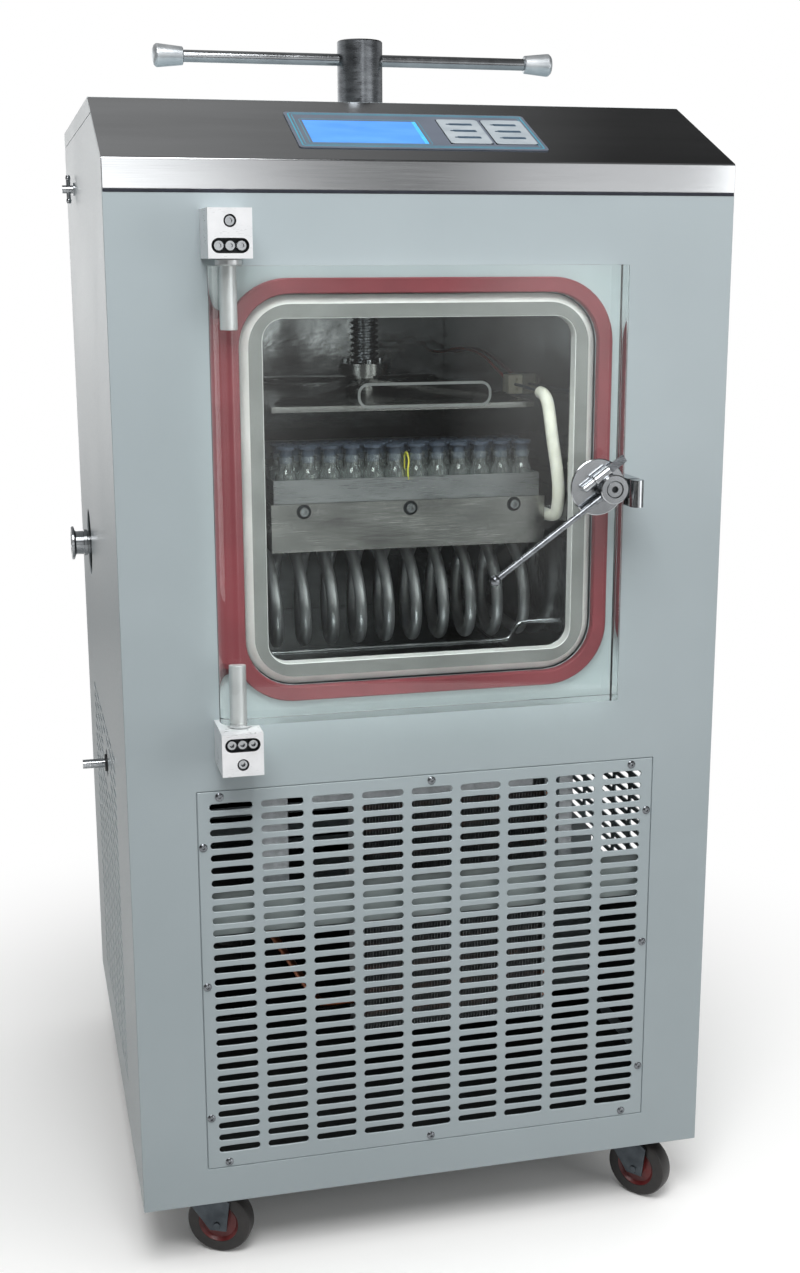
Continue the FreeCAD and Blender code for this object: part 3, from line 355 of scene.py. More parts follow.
# The same coat on the frame inside, painted darker as shade since it is never seen in full light, and dusty from
# the fan.
shadedFramePaint = makeFinish("dustyShadedFramePaint", "#8B9595", "#A2ACAC", (40, 40, 60), 1.5, (0.5, 0.7), 0.12, 0.25)
# Stainless sheet with a satin mill finish, rolled along the cabinet's width: fine lines about 0.35 mm apart.
satinSteel = makeFinish("satinStainlessSheet", "#B1B3B5", "#C3C5C7", (420, 60, 60), (45, 0.35, 0.35), (0.1, 0.18),
    0.06, 0.05, metal=1)
# Stainless sheet polished after welding: it mirrors, with slow waves from the hammering and faint rubbed lines.
chamberSteel = makeFinish("polishedChamberSteel", "#A4A6A8", "#BBBDBF", 90, (34, 34, 24), (0.08, 0.2), 0.32, 2,
    metal=1)
# Stainless plate rubbed with a coarse pad, scuffed by trays: dull and a little blotchy.
rubbedSteel = makeFinish("rubbedStainlessPlate", "#9A9A99", "#AEAEAC", (80, 80, 30), (24, 24, 0.5), (0.16, 0.28),
    0.05, 0.06, metal=1)
# Thin stainless tray sheet, brighter from its pressing and folded along the front.
traySteel = makeFinish("pressedTraySheet", "#898B8D", "#999B9D", (70, 70, 30), (30, 30, 0.6), (0.24, 0.36), 0.06,
    0.06, metal=0.9)
# The flange's sealing face, blasted so that the rubber grips: an even matte grey.
blastedSteel = makeFinish("blastedSealingFace", "#777877", "#858685", 50, 0.8, (0.55, 0.7), 0.15, 0.1, metal=0.35)
# The cut edges of the flange, left unblasted and painted near-white and matte: a painted highlight for the bright
# chamfer.
highlightEdgeSteel = makeFinish("paintedHighlightFlangeEdge", "#D6D6D5", "#E6E6E5", 40, 3, (0.34, 0.48), 0.06, 0.05, metal=0.15)
# Ground stainless pins, pale where they turn in the plastic.
pinSteel = makeFinish("groundStainlessPin", "#C6C8C9", "#D8DADB", (14, 14, 40), (0.6, 0.6, 6), (0.3, 0.42), 0.05,
    0.04, metal=0.7)
# Turned and polished stainless bar: rings from the tool, far finer than a millimetre, and a bright mirror.
turnedSteel = makeFinish("turnedStainlessBar", "#A2A5A8", "#B6B9BC", 30, (0.5, 8, 8), (0.12, 0.24), 0.05, 0.05,
    metal=1)
# Drawn stainless tube, bent and then brushed down: satin, with a broad soft streak along each turn.
drawnSteel = makeFinish("drawnStainlessTube", "#B4B6B8", "#C6C8CA", 30, 2, (0.36, 0.48), 0.05, 0.05, metal=0.9)
# Steel as rolled for the screw and the press: greyer, with oil in the thread.
screwSteel = makeFinish("oiledScrewSteel", "#65686C", "#868A8E", (14, 14, 5), (6, 6, 0.6), (0.2, 0.36), 0.1, 0.08,
    metal=1)
# Milled aluminium, tumbled and clear anodised: white and satin, with faint cutter lines 0.6 mm apart.
milledAluminium = makeFinish("milledAluminium", "#E2E4E6", "#EFF0F2", 24, (9, 9, 0.6), (0.26, 0.38), 0.08, 0.06,
    metal=0.35)
# The wells of the screws and their sockets, painted nearly black: painted shade for the shade in these hollows.
shadeWell = makeFinish("paintedShadeScrewWell", "#222528", "#363A3E", 6, 0.8, (0.4, 0.6), 0.12, 0.1, metal=0.3)
# Turned aluminium knobs, satin, with faint rings across the axis.
turnedAluminium = makeFinish("turnedAluminium", "#C4CACE", "#D6DADD", 12, (0.5, 5, 5), (0.28, 0.42), 0.08, 0.05,
    metal=0.85)
# Cast silicone rubber, brick red: a dull skin with dust and small pale scuffs.
redSilicone = makeFinish("redSiliconeSeal", "#6C2830", "#7C333B", 70, 0.9, (0.48, 0.62), 0.1, 0.1,
    shader={"Specular IOR Level": 0.4})
# Translucent silicone hose, yellowed a little.
milkySilicone = makeFinish("milkySiliconeHose", "#D9D8CC", "#ECEBE0", 20, 1.2, (0.35, 0.5), 0.06, 0.1,
    shader={"Subsurface Weight": 0.25, "Subsurface Radius": (0.004, 0.004, 0.003)})
# Butyl stoppers, dark grey with a frosty bloom.
butylRubber = makeFinish("butylStopper", "#2B3442", "#3D4756", 4, 0.5, (0.45, 0.6), 0.1, 0.05)
# Polycarbonate film with a fine velvet texture, blue-grey.
overlayFilm = makeFinish("printedOverlayFilm", "#565D69", "#616874", 60, 0.5, (0.38, 0.5), 0.1, 0.05)
# The lines printed on the film, petrol blue.
overlayLine = makeFinish("printedOverlayLine", "#2F7F95", "#3E93A8", 40, 0.5, (0.38, 0.5), 0.1, 0.05)
# The same film over the keys, embossed and paler.
keyFilm = makeFinish("embossedKeyFilm", "#929BA1", "#A0A8AD", 18, 0.5, (0.4, 0.52), 0.1, 0.05)
# Dark ink of the key labels, also the sheath of the thin lead.
keyInk = makeFinish("keyLabelInk", "#2F4354", "#3C5061", 6, 0.4, (0.45, 0.55), 0.08, 0.04)
# Moulded black plastic, slightly rough.
blackPlastic = makeFinish("mouldedBlackPlastic", "#17181A", "#222427", 30, 0.7, (0.42, 0.58), 0.14, 0.08)
# A black matte strip in the gap under the hood's band: painted shade standing in for the shadow in that gap.
gapShadeStrip = makeFinish("paintedShadeGapStrip", "#1B1D26", "#282B36", (20, 5, 5), 1.1, (0.75, 0.9), 0.3, 0.2)
# Pressed steel caster fork, zinc plated and lacquered dark.
forkSteel = makeFinish("lacqueredForkSteel", "#3A3F44", "#50565B", 14, 1.2, (0.28, 0.44), 0.1, 0.1, metal=0.85)
# Cast polyurethane tyre: nearly black and slightly dusty on its tread.
wheelTyre = makeFinish("castWheelTyre", "#191818", "#2B2827", 12, 1, (0.38, 0.58), 0.12, 0.1)
# Moulded hub of the casters, dark red.
wheelHub = makeFinish("mouldedWheelHub", "#5B1E1F", "#742A29", 14, 0.9, (0.32, 0.46), 0.08, 0.06)
# The coat on the bay's floor, painted nearly black: painted shade for the dark inside of the bay. nearly black.
shadeFloorPaint = makeFinish("paintedShadeFloorPaint", "#1E2122", "#303434", 60, 2, (0.6, 0.8), 0.12, 0.25)
# Galvanised strip: zinc crystals about 8 mm across.
zincStrip = makeFinish("galvanisedStrip", "#A4A9AD", "#C3C8CC", 8, 3, (0.35, 0.55), 0.05, 0.05, metal=0.7)
# Drawn copper pipe, browned where it was brazed.
copperPipe = makeFinish("drawnCopperPipe", "#9A5A3C", "#BC7450", 45, (5, 5, 0.8), (0.26, 0.42), 0.06, 0.05, metal=1)
# Stoved black enamel on the compressor's deep-drawn can.
blackEnamel = makeFinish("stovedBlackEnamel", "#121315", "#1C1E20", 50, 2.2, (0.25, 0.38), 0.12, 0.15)
# Thin aluminium fins: bright edges, grey with dust between.
finFoil = makeFinish("condenserFinFoil", "#8E9395", "#B5BABC", (30, 30, 12), (0.8, 8, 8), (0.35, 0.55), 0.08, 0.08,
    metal=0.9)
# Flexible silicone sheath of the red lead.
redLead = makeFinish("redLeadSheath", "#A8372C", "#BE4636", 14, 0.8, (0.35, 0.5), 0.05, 0.05)
# Yellow sheath with a green tinge, on the probe's wire.
yellowLead = makeFinish("yellowGreenSheath", "#C7B83A", "#A8AE3A", 10, 0.8, (0.35, 0.5), 0.05, 0.05)
# Cream terminal block, glossy and a little aged.
creamPlastic = makeFinish("creamTerminalBlock", "#C9C3AE", "#D9D4C2", 9, 0.8, (0.34, 0.48), 0.06, 0.05)
# The door's face where it was etched: frosted.
etchedAcrylic = makeFinish("etchedAcrylicLine", "#AEB6B4", "#BFC7C5", 12, 0.5, (0.3, 0.42), 0.1, 0.05,
    shader={"Transmission Weight": 0.75, "IOR": 1.49})
# Cast acrylic plate, 38 mm thick, edges polished: clear with a breath of green and wiping marks.
clearAcrylic = passLight(makeFinish("castAcrylicPlate", "#F1F6F4", "#F6FAF8", 120, 60, (0, 0.02), 0, 0.1,
    shader={"Transmission Weight": 1, "IOR": 1.49}))
# Drawn borosilicate glass: clear, with faint waves down the wall.
vialGlass = passLight(makeFinish("borosilicateGlass", "#EEF3F4", "#F5F8F8", (8, 8, 30), (6, 6, 14), (0, 0.03), 0.05,
    0.2, shader={"Transmission Weight": 0.97, "IOR": 1.47}))
# Liquid-crystal display, lit from behind: blue with soft patches from the light guide.
litDisplay = makeFinish("backlitDisplay", "#3C74B6", "#4880C4", (60, 22, 22), 0.7, (0.18, 0.26), 0.02, 0.02,
    shader={"Emission Strength": 0.7})
displayTree = litDisplay.node_tree
displayTree.links.new(displayTree.nodes["Color Ramp"].outputs["Color"],
    displayTree.nodes["Principled BSDF"].inputs["Emission Color"])
# The edge of the display, where the lamps sit: brighter and greener.
displayEdge = makeFinish("displayBacklightEdge", "#3C8ABE", "#44A0D0", 20, 0.7, (0.2, 0.3), 0.02, 0.02,
    shader={"Emission Strength": 0.8, "Emission Color": colour("#3E94C8")})
print("materials made:", len(bpy.data.materials))


# Cabinet: painted sheets, the steel hood, the vents and the strip under the band

fittings = {"port": (470, 686), "drain": (310, 458), "valve": (450, 1094)}  # y and z on the left side
hood = {"foot": 1104, "rise": 63, "run": 147, "sideTop": 1101.2}
slots = {"length": 42, "height": 7.4, "pitchX": 50.4, "pitchZ": 13.04, "firstZ": 134.9, "rows": 29,
    "grilleColumns": 9, "grilleFirstX": -201, "sideColumns": 7, "sideFirstY": 190}


def slotField(firstX, columns):  # punches for a field of obround slots in the front face
    clear()
    bpy.ops.mesh.primitive_cylinder_add(vertices=14, radius=slots["height"] / 2000, depth=0.012,
        location=at(0, 0, slots["firstZ"]), rotation=(math.pi / 2, 0, 0))
    punch = settle(bpy.context.object, "punch")
    stretch = (slots["length"] - slots["height"]) / 2000
    for side in (-1, 1):
        pick(punch, "VERT", lambda middle, facing: middle.x * side > 0)
        bpy.ops.transform.translate(value=(side * stretch, 0, 0))
    for count, step in ((columns, (slots["pitchX"], 0, 0)), (slots["rows"], (0, 0, slots["pitchZ"]))):
        arrayed(punch, count, Vector(step) / 1000)
    punch.location.x = firstX / 1000
    return settle(punch, "punch")


def makeGrille():
    low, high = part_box("front_grille")
    sheet = cut(block(low, high), slotField(slots["grilleFirstX"], slots["grilleColumns"]))
    finish(eased(sheet, 0.45, 1), "ventGrille", cabinetPaint, ["front_grille"])


def makeSidePanel(side):
    node = "left_side_panel" if side < 0 else "right_side_panel"
    low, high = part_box(node)
    outer = at(side * 300, 0, 0).x
    inner = at(side * 298, 0, 0).x
    sheet = block(Vector((min(outer, inner), low.y, low.z)), Vector((max(outer, inner), high.y, high.z)))
    hoodLow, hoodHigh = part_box("control_hood")
    slope = Vector((0, hoodHigh.y - hoodLow.y, hood["rise"] / 1000)).normalized()
    opened(sheet)
    bpy.ops.mesh.bisect(plane_co=at(0, 0, hood["sideTop"]), plane_no=(0, -slope.z, slope.y), clear_outer=True,
        use_fill=True)
    punch = slotField(0, slots["sideColumns"])
    punch.rotation_euler = (0, 0, math.pi / 2)
    settle(punch, "punch")
    turnedMiddle = sum((v.co for v in punch.data.vertices), Vector()) / len(punch.data.vertices)
    fieldMiddle = slots["sideFirstY"] + slots["pitchX"] * (slots["sideColumns"] - 1) / 2
    punch.location = at(side * 299, fieldMiddle, fromCabinet(turnedMiddle).z) - turnedMiddle
    settle(punch, "punch")
    if side < 0:  # no slots where the drain comes out
        drainY, drainZ = fittings["drain"]
        pick(punch, "FACE", lambda middle, facing: abs(middle.y - drainY) < 42 and abs(middle.z - drainZ) < 22)
        bpy.ops.mesh.select_linked()
        bpy.ops.mesh.delete(type="FACE")
    cut(sheet, punch)
    if side < 0:
        for name, radius in (("port", 39.5), ("drain", 16), ("valve", 7.3)):
            y, z = fittings[name]
            cut(sheet, bar(at(-310, y, z), at(-290, y, z), radius, 40, 0.01))
    name = "leftPanel" if side < 0 else "rightPanel"
    finish(eased(sheet, 0.6, 2), name, cabinetPaint, [node])


def makeCabinet():
    for node, ease in (("front_panel", 1.0), ("rear_panel", 1.0), ("top_cover", 1.4)):
        carry(node, node + "Sheet", ease, cabinetPaint)
    pan = softened("base_pan", 0.8)
    # The pan's upward faces inside the bay take the nearly black painted shade.
    paintFaces(pan, [cabinetPaint, shadeFloorPaint], lambda middle, facing: facing.z > 0.9 and abs(middle.x) < 290)
    finish(pan, "base_panSheet", None, ["base_pan"])
    carry("control_hood", "hoodSheet", 1.0, satinSteel)
    # The strip fills the gap under the band with painted shade.
    strip = eased(block(at(-299.4, -0.5, 1074.3), at(299.4, 1.4, 1077.2)), 0.5)
    finish(strip, "hoodGapShade", gapShadeStrip)
    shadeSheet = eased(block(at(296.0, 150, 112), at(297.2, 560, 300)), 0.3)  # a sheet of painted shade behind the right side's lower slots
    finish(shadeSheet, "rightShadeSheet", shadeFloorPaint)
    for side in (-1, 1):
        makeSidePanel(side)
    makeGrille()


rearVents = {"length": 344, "firstZ": 144, "pitch": 26.08, "rows": 12, "lean": -38, "lip": 14.6}


def makeLouvres():  # lips pressed behind the rear slots, which keep fingers and the view out
    half, deep = rearVents["length"] / 2000, rearVents["lip"] / 2000
    lip = block(Vector((-half, -0.0006, -deep)), Vector((half, 0.0006, deep)))
    lip.rotation_euler = (math.radians(rearVents["lean"]), 0, 0)
    lip.location = at(0, 623, rearVents["firstZ"] + 2.75)
    settle(lip, "lip")
    arrayed(lip, rearVents["rows"], (0, 0, rearVents["pitch"] / 1000))
    finish(eased(lip, 0.3, 1), "rearLouvres", cabinetPaint)


makeCabinet()
makeLouvres()
print("cabinet made")


# Screws: dome heads round the grille, socket heads on the blocks and the shelf

domeScrew = {"head": 4.2, "rise": 1.75, "socket": 1.6}
shelfScrews = {"x": (-116, -9.5, 97), "z": 777.5, "well": 7.2}


def screwHead(radius, rise, socket, dome):  # faces the front from the middle of its seat, with a round socket
    edge = 0.35 if dome else rise - 0.5
    profile = [(0, 0), (0, radius), (edge, radius)]
    if dome:
        profile += [(rise * 0.62, radius * 0.82), (rise * 0.9, radius * 0.55)]
    else:
        profile += [(rise, radius - 0.5)]
    profile += [(rise, socket * 1.35), (rise, socket), (rise * 0.35, socket), (rise * 0.35, 0)]
    return turned(Vector(), (0, -1, 0), profile, 24)


def makeScrews():
    places = [(x, z) for x in (-212, 0, 212) for z in (510.5, 120.5)]
    places += [(x, z) for x in (-229, 230) for z in (460, 314, 171)]
    dome = screwHead(domeScrew["head"], domeScrew["rise"], domeScrew["socket"], True)
    domes = repeated(dome, [at(x, 0, z) for x, z in places])
    finish(domes, "grilleScrewHeads", screwSteel, ["grille_screws"])
    places = [(x, -47.0, z) for z in (1028, 577) for x in (-205.5, -195.5, -185.5)]
    places += [(-195.5, -47.0, z) for z in (1049, 558)]
    places += [(x, 62.4, shelfScrews["z"]) for x in shelfScrews["x"]]
    caps = repeated(screwHead(4.6, 5.4, 2.3, False), [at(*place) for place in places])
    # The sockets of the cap screws get painted shade.
    paintFaces(caps, [turnedSteel, shadeWell], lambda middle, facing: min(math.hypot(middle.x - x, middle.z - z)
        for x, y, z in places) < 2.45)
    finish(caps, "socketScrewHeads", None, ["cap_screws"])


makeScrews()


# Control panel on the slope

overlay = {"film": (-118.5, 121, 28, 124.5), "line": 1.3, "inset": 3.2, "display": (-104, 7, 41, 102),
    "keys": (28.5, 73), "keyWidth": 41, "keyFoot": 42, "keyTop": 108}


def laidOnSlope(piece, name):  # from flat, x across and y up the slope, on to the hood
    piece.matrix_world = Matrix.Translation(at(0, 0, hood["foot"])) @ Matrix.Rotation(math.atan2(hood["rise"],
        hood["run"]), 4, "X")
    return settle(piece, name)


def flatBlock(x0, x1, y0, y1, z0, z1):
    return block(Vector((x0, y0, z0)) / 1000, Vector((x1, y1, z1)) / 1000)


def flatFrame(x0, x1, y0, y1, line, z0, z1):
    outer = roundedCorners(flatBlock(x0, x1, y0, y1, z0, z1), 3.2)
    return cut(outer, roundedCorners(flatBlock(x0 + line, x1 - line, y0 + line, y1 - line, z0 - 1, z1 + 1), 2.2))


def makeOverlay():
    left, right, foot, top = overlay["film"]
    film = roundedCorners(flatBlock(left, right, foot, top, 0, 1.1), 4)
    x0, x1, y0, y1 = overlay["display"]
    cut(film, flatBlock(x0, x1, y0, y1, 0.5, 3))
    for x in overlay["keys"]:
        cut(film, flatBlock(x - 0.5, x + 41.5, 41.5, 108.5, -1, 3))
    finish(laidOnSlope(eased(film, 0.25), "film"), "controlFilm", overlayFilm, ["control_overlay"])
    lines = []
    for inset, line in ((overlay["inset"], overlay["line"]), (overlay["inset"] + 3.4, 0.7)):
        lines.append(flatFrame(left + inset, right - inset, foot + inset, top - inset, line, 1.0, 1.18))
    lines.append(flatFrame(x0 - 3, x1 + 3, y0 - 3, y1 + 3, 0.6, 1.0, 1.18))
    finish(laidOnSlope(joined(lines), "lines"), "printedLines", overlayLine)
    screen = flatBlock(x0 + 0.1, x1 - 0.1, y0 + 0.1, y1 - 0.1, 0.5, 0.95)
    finish(laidOnSlope(eased(screen, 0.2), "screen"), "displayWindow", litDisplay)
    edge = flatBlock(x1 - 4, x1 - 0.3, y0 + 0.4, y1 - 0.4, 0.9, 1.0)
    finish(laidOnSlope(edge, "edge"), "displayEdgeGlow", displayEdge)
    for x, body in zip(overlay["keys"], ("key_left", "key_right")):
        pad = roundedCorners(flatBlock(x, x + overlay["keyWidth"], overlay["keyFoot"], overlay["keyTop"], 0.95,
            1.9), 4)
        finish(laidOnSlope(eased(pad, 0.4), "pad"), body + "Pad", keyFilm,
            [body.replace("key", "key_pad")], body=body)
        marks = []
        for y in (55, 73, 91):
            marks.append(roundedCorners(flatBlock(x + 10, x + 33, y, y + 5.5, 1.85, 1.99), 1.2, 3))
            marks.append(roundedCorners(flatBlock(x + 7, x + 12, y + 1.5, y + 4, 1.85, 1.99), 0.8, 3))
        finish(laidOnSlope(joined(marks), "marks"), body + "Marks", keyInk, body=body)


makeOverlay()
print("control panel made")


# Chamber: box, flange, seal and what is inside

mouth = {"middle": (-14, 803.5), "width": 299, "height": 321, "radius": 20}


def makeChamber():
    carry("chamber_box", "chamberBox", 0.5, chamberSteel, 1)
    width, height = mouth["width"], mouth["height"]
    flange = roundedFrame([(width, height, mouth["radius"], 9), (width, height, mouth["radius"], -3.4),
        (width + 1.2, height + 1.2, mouth["radius"] + 0.6, -4), (width + 26, height + 26, 39, -4),
        (width + 42, height + 42, 47, 4), (width + 42, height + 42, 47, 9)], mouth["middle"])
    # Every face of the flange but its front face, the chamfers and the mouth's inner wall among them, takes the
    # painted highlight.
    paintFaces(flange, [highlightEdgeSteel, blastedSteel], lambda middle, facing: facing.y < -0.98)
    finish(flange, "mouthFlange", None, ["chamber_flange"], 25)
    seal = roundedFrame([(width + 44, height + 44, 48, -0.05), (width + 44, height + 44, 48, -6.6),
        (width + 46.2, height + 46.2, 49, -7.7), (width + 69.8, height + 69.8, 59, -7.7),
        (width + 72, height + 72, 60, -6.6), (width + 72, height + 72, 60, -0.05)], mouth["middle"])
    finish(seal, "doorSeal", redSilicone, ["door_seal"], 40)
    shelfLow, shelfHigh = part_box("shelf")
    shelf = block(shelfLow, shelfHigh)
    z = shelfScrews["z"]
    for x in shelfScrews["x"]:
        cut(shelf, bar(at(x, 55, z), at(x, 62.6, z), shelfScrews["well"], 32, 0.01))
    eased(shelf, 0.8)
    front = fromCabinet(shelfLow).y
    # The screw wells in the shelf get painted shade.
    paintFaces(shelf, [rubbedSteel, shadeWell], lambda middle, facing: middle.y > front + 1
        and min(math.hypot(middle.x - x, middle.z - z) for x in shelfScrews["x"]) < 7.4)
    finish(shelf, "coldShelf", None, ["shelf"])
    carry("tray", "vialTray", 0.25, traySteel, 1)


makeChamber()
print("chamber made")


# Vials with half-seated stoppers, in nested rows

vial = {"radius": 10.6, "foot": 786.3, "shoulder": 812, "neck": 6.7, "lip": 8.6, "top": 830, "wall": 1.1,
    "pitch": 21.8, "count": 12, "middle": -10.5, "firstY": 76, "rows": 3}


def vialPlaces():
    places = []
    for row in range(vial["rows"]):
        count = vial["count"] - row % 2
        first = vial["middle"] - (count - 1) * vial["pitch"] / 2
        y = vial["firstY"] + row * vial["pitch"] * math.sin(math.pi / 3)
        places += [at(first + index * vial["pitch"], y, vial["foot"]) for index in range(count)]
    return places


def makeVials():
    tall = vial["top"] - vial["foot"]
    shoulder = vial["shoulder"] - vial["foot"]
    radius, neck, wall = vial["radius"], vial["neck"], vial["wall"]
    outside = [(0, 0), (0, radius - 1.6), (0.5, radius - 0.6), (1.6, radius), (shoulder, radius),
        (shoulder + 2.6, radius - 1.1), (shoulder + 5.4, neck + 0.9), (shoulder + 7.5, neck + 0.4),
        (tall - 4.2, neck + 0.4), (tall - 3.8, vial["lip"]), (tall - 0.4, vial["lip"]), (tall, vial["lip"] - 0.5)]
    inside = [(tall, neck - 0.6), (shoulder + 7.0, neck - 0.6), (shoulder + 4.6, neck),
        (shoulder + 2.0, radius - 2.2), (shoulder - 0.4, radius - wall), (2.4, radius - wall), (1.5, radius - 2.4),
        (1.5, 0)]
    glass = turned(Vector(), (0, 0, 1), outside + inside, 28)
    finish(repeated(glass, vialPlaces()), "glassVials", vialGlass, ["vials"], 50)
    plug = [(tall - 7.5, 0), (tall - 7.5, neck - 2.2), (tall - 6.5, neck - 0.7), (tall + 6.2, neck - 0.7),
        (tall + 6.2, 8.4), (tall + 6.6, 8.9), (tall + 9.4, 8.9), (tall + 9.8, 8.4), (tall + 9.8, 3.2),
        (tall + 9.4, 2.8), (tall + 9.4, 0)]
    stopper = turned(Vector(), (0, 0, 1), plug, 24)
    finish(repeated(stopper, vialPlaces()), "halfSeatedStoppers", butylRubber, ["stoppers"], 40)


makeVials()
print("vials made")


# Press: threaded spindle, hub with arms, plate, gland and T-handle

thread = {"x": -14, "y": 243, "pitch": 6, "crest": 15.0, "root": 11.6, "foot": 884, "top": 1075}


def onScrew(z):
    return at(thread["x"], thread["y"], z)


def makePress():
    pitch, crest, root = thread["pitch"], thread["crest"], thread["root"]
    turns = int((thread["top"] - thread["foot"]) / pitch)
    section = [(root, 0), (root, 1.5), (crest, 2.6), (crest, 4.4), (root, 5.5), (root, 6)]
    spiral = chain([(radius / 1000, 0, along / 1000) for radius, along in section])
    modified(spiral, "SCREW", angle=2 * math.pi, screw_offset=pitch / 1000, iterations=turns, steps=32,
        render_steps=32)
    tidied(spiral)
    spiral.location = onScrew(thread["foot"])
    settle(spiral, "spiral")
    core = bar(onScrew(883), onScrew(1078), root + 0.4, 32)
    finish(joined([spiral, core]), "threadedSpindle", screwSteel, ["lead_screw"], body="spindle")
    carry("press_plate", "pressPlate", 0.8, rubbedSteel, body="press")
    carry("press_head", "pressHub", 0.5, rubbedSteel, body="press")
    bolt = turned(Vector(), (0, 0, 1), [(0, 0), (0, 4.2), (4.4, 4.2), (4.8, 3.8), (4.8, 2.2), (2.5, 2.2), (2.5, 0)],
        20)
    places = [at(thread["x"] + 21.5 * math.cos(angle), thread["y"] + 21.5 * math.sin(angle), 908)
        for angle in (math.radians(30), math.radians(150), math.radians(270))]
    finish(repeated(bolt, places), "hubBolts", turnedSteel, body="press")
    carry("screw_nut", "roofGland", 0.8, rubbedSteel)


tHandle = {"radius": 23.5, "foot": 1075, "top": 1236, "barZ": 1217, "barRadius": 6, "left": -197, "right": 164}


def makeHandle():
    radius, foot = tHandle["radius"], tHandle["foot"]
    tall = tHandle["top"] - foot
    profile = [(0, 0), (0, radius - 1), (1, radius), (tall - 1.6, radius), (tall - 0.4, radius - 1.2),
        (tall, radius - 2.2), (tall, 0)]
    head = turned(onScrew(foot), (0, 0, 1), profile, 64)
    finish(head, "handleHead", screwSteel, ["handle_head"], body="spindle")
    rod = bar(at(tHandle["left"], thread["y"], tHandle["barZ"]), at(tHandle["right"], thread["y"], tHandle["barZ"]),
        tHandle["barRadius"], 40)
    finish(rod, "tommyBar", turnedSteel, ["handle_bar"], body="spindle")
    knobs = []
    shape = [(0, 0), (0, 8.0), (0.8, 9.0), (25.5, 11.5), (27.3, 11.3), (29.4, 9.4), (30.6, 6.2), (31, 3.0), (31, 0)]
    for x, out in ((tHandle["left"], -1), (tHandle["right"], 1)):
        knobs.append(turned(at(x, thread["y"], tHandle["barZ"]), (out, 0, 0), shape, 40))
    finish(joined(knobs), "handleKnobs", turnedAluminium, ["handle_knobs"], 45, body="spindle")


makePress()
makeHandle()
print("press made")


# Coil, pipes, hose and leads in the chamber

coil = {"x": -136, "y": 168, "z": 678, "radius": 52, "pitch": 29.2, "turns": 9.5, "pointsPerTurn": 16, "tube": 6}


def makeCoil():
    perTurn = coil["pointsPerTurn"]
    reach = coil["radius"] / math.cos(math.pi / perTurn)
    startX = coil["x"] - coil["pitch"] / 4
    points = [(startX, 489.9, coil["z"] + coil["radius"]), (startX, 330, coil["z"] + coil["radius"])]
    for step in range(int(coil["turns"] * perTurn) + 1):
        angle = 2 * math.pi * step / perTurn
        points.append((startX + coil["pitch"] * step / perTurn, coil["y"] - reach * math.sin(angle),
            coil["z"] + reach * math.cos(angle)))
    endX = points[-1][0]
    points += [(endX, 330, coil["z"] - coil["radius"]), (endX, 489.9, coil["z"] - coil["radius"])]
    finish(tube(points, coil["tube"], 5), "coldCoil", drawnSteel, ["condenser_coil"], 60)
    route = [(-169.9, 110, 626), (-60, 110, 626), (60, 110, 626), (104, 110, 626), (112, 110, 629), (117, 110, 641),
        (124, 110, 645), (141.9, 110, 645)]
    finish(tube(route, 2.5, 4), "defrostPipe", turnedSteel, ["defrost_pipe"], 60)
    route = [(119.5, 50, 888.5), (120, 37, 887.5), (121.5, 30, 876), (125, 27.5, 845), (130, 28, 818),
        (133.5, 30, 796), (135.3, 38, 775), (135.5, 47, 764.5), (135.5, 80, 764)]
    finish(tube(route, 6.1, 5), "shelfHose", milkySilicone, ["shelf_hose"], 60)
    terminal = eased(block(at(126, 175, 877), at(142, 195, 897)), 1.2)
    for z in (882, 892):
        cut(terminal, bar(at(134, 170, z), at(134, 179, z), 2.4, 20, 0.01))
    finish(terminal, "leadBlock", creamPlastic, ["temperature_probe"])
    route = [(134, 176, 887), (133.5, 150, 887), (130, 100, 887), (122, 60, 888.2), (119.5, 49.5, 888.5)]
    finish(tube(route, 1.5, 3), "linkLead", keyInk, (), 60)
    route = [(136, 194, 887), (136, 225, 892), (138, 310, 912), (136, 400, 915), (130, 460, 905), (130, 489.9, 905)]
    finish(tube(route, 1.6, 3), "redLead", redLead, (), 60)
    route = [(-10.5, 63.5, 805), (-11.5, 64.5, 814), (-9.0, 67, 823), (-10, 72, 831), (-11, 78, 830),
        (-10.5, 80.5, 820), (-10.5, 80.5, 804)]
    finish(tube(route, 0.9, 3), "probeWire", yellowLead, (), 60)


makeCoil()
print("coil made")


# Door: clear plate with a bull-nosed hinge edge, its pins, blocks and latch

door = {"left": -213, "right": 178, "foot": 593, "top": 1011, "face": -46, "back": -8,
    "window": (-82, 44, 884, 907), "bullNose": 0.0189, "corner": 0.003}


hinge = {"pin": (-194, -27), "screws": -195.5, "blocks": ((1017, 1060, 1028, 1049), (547, 588, 577, 558)),
    "ease": 1.1}


def onHinge(z):
    return at(*hinge["pin"], z)


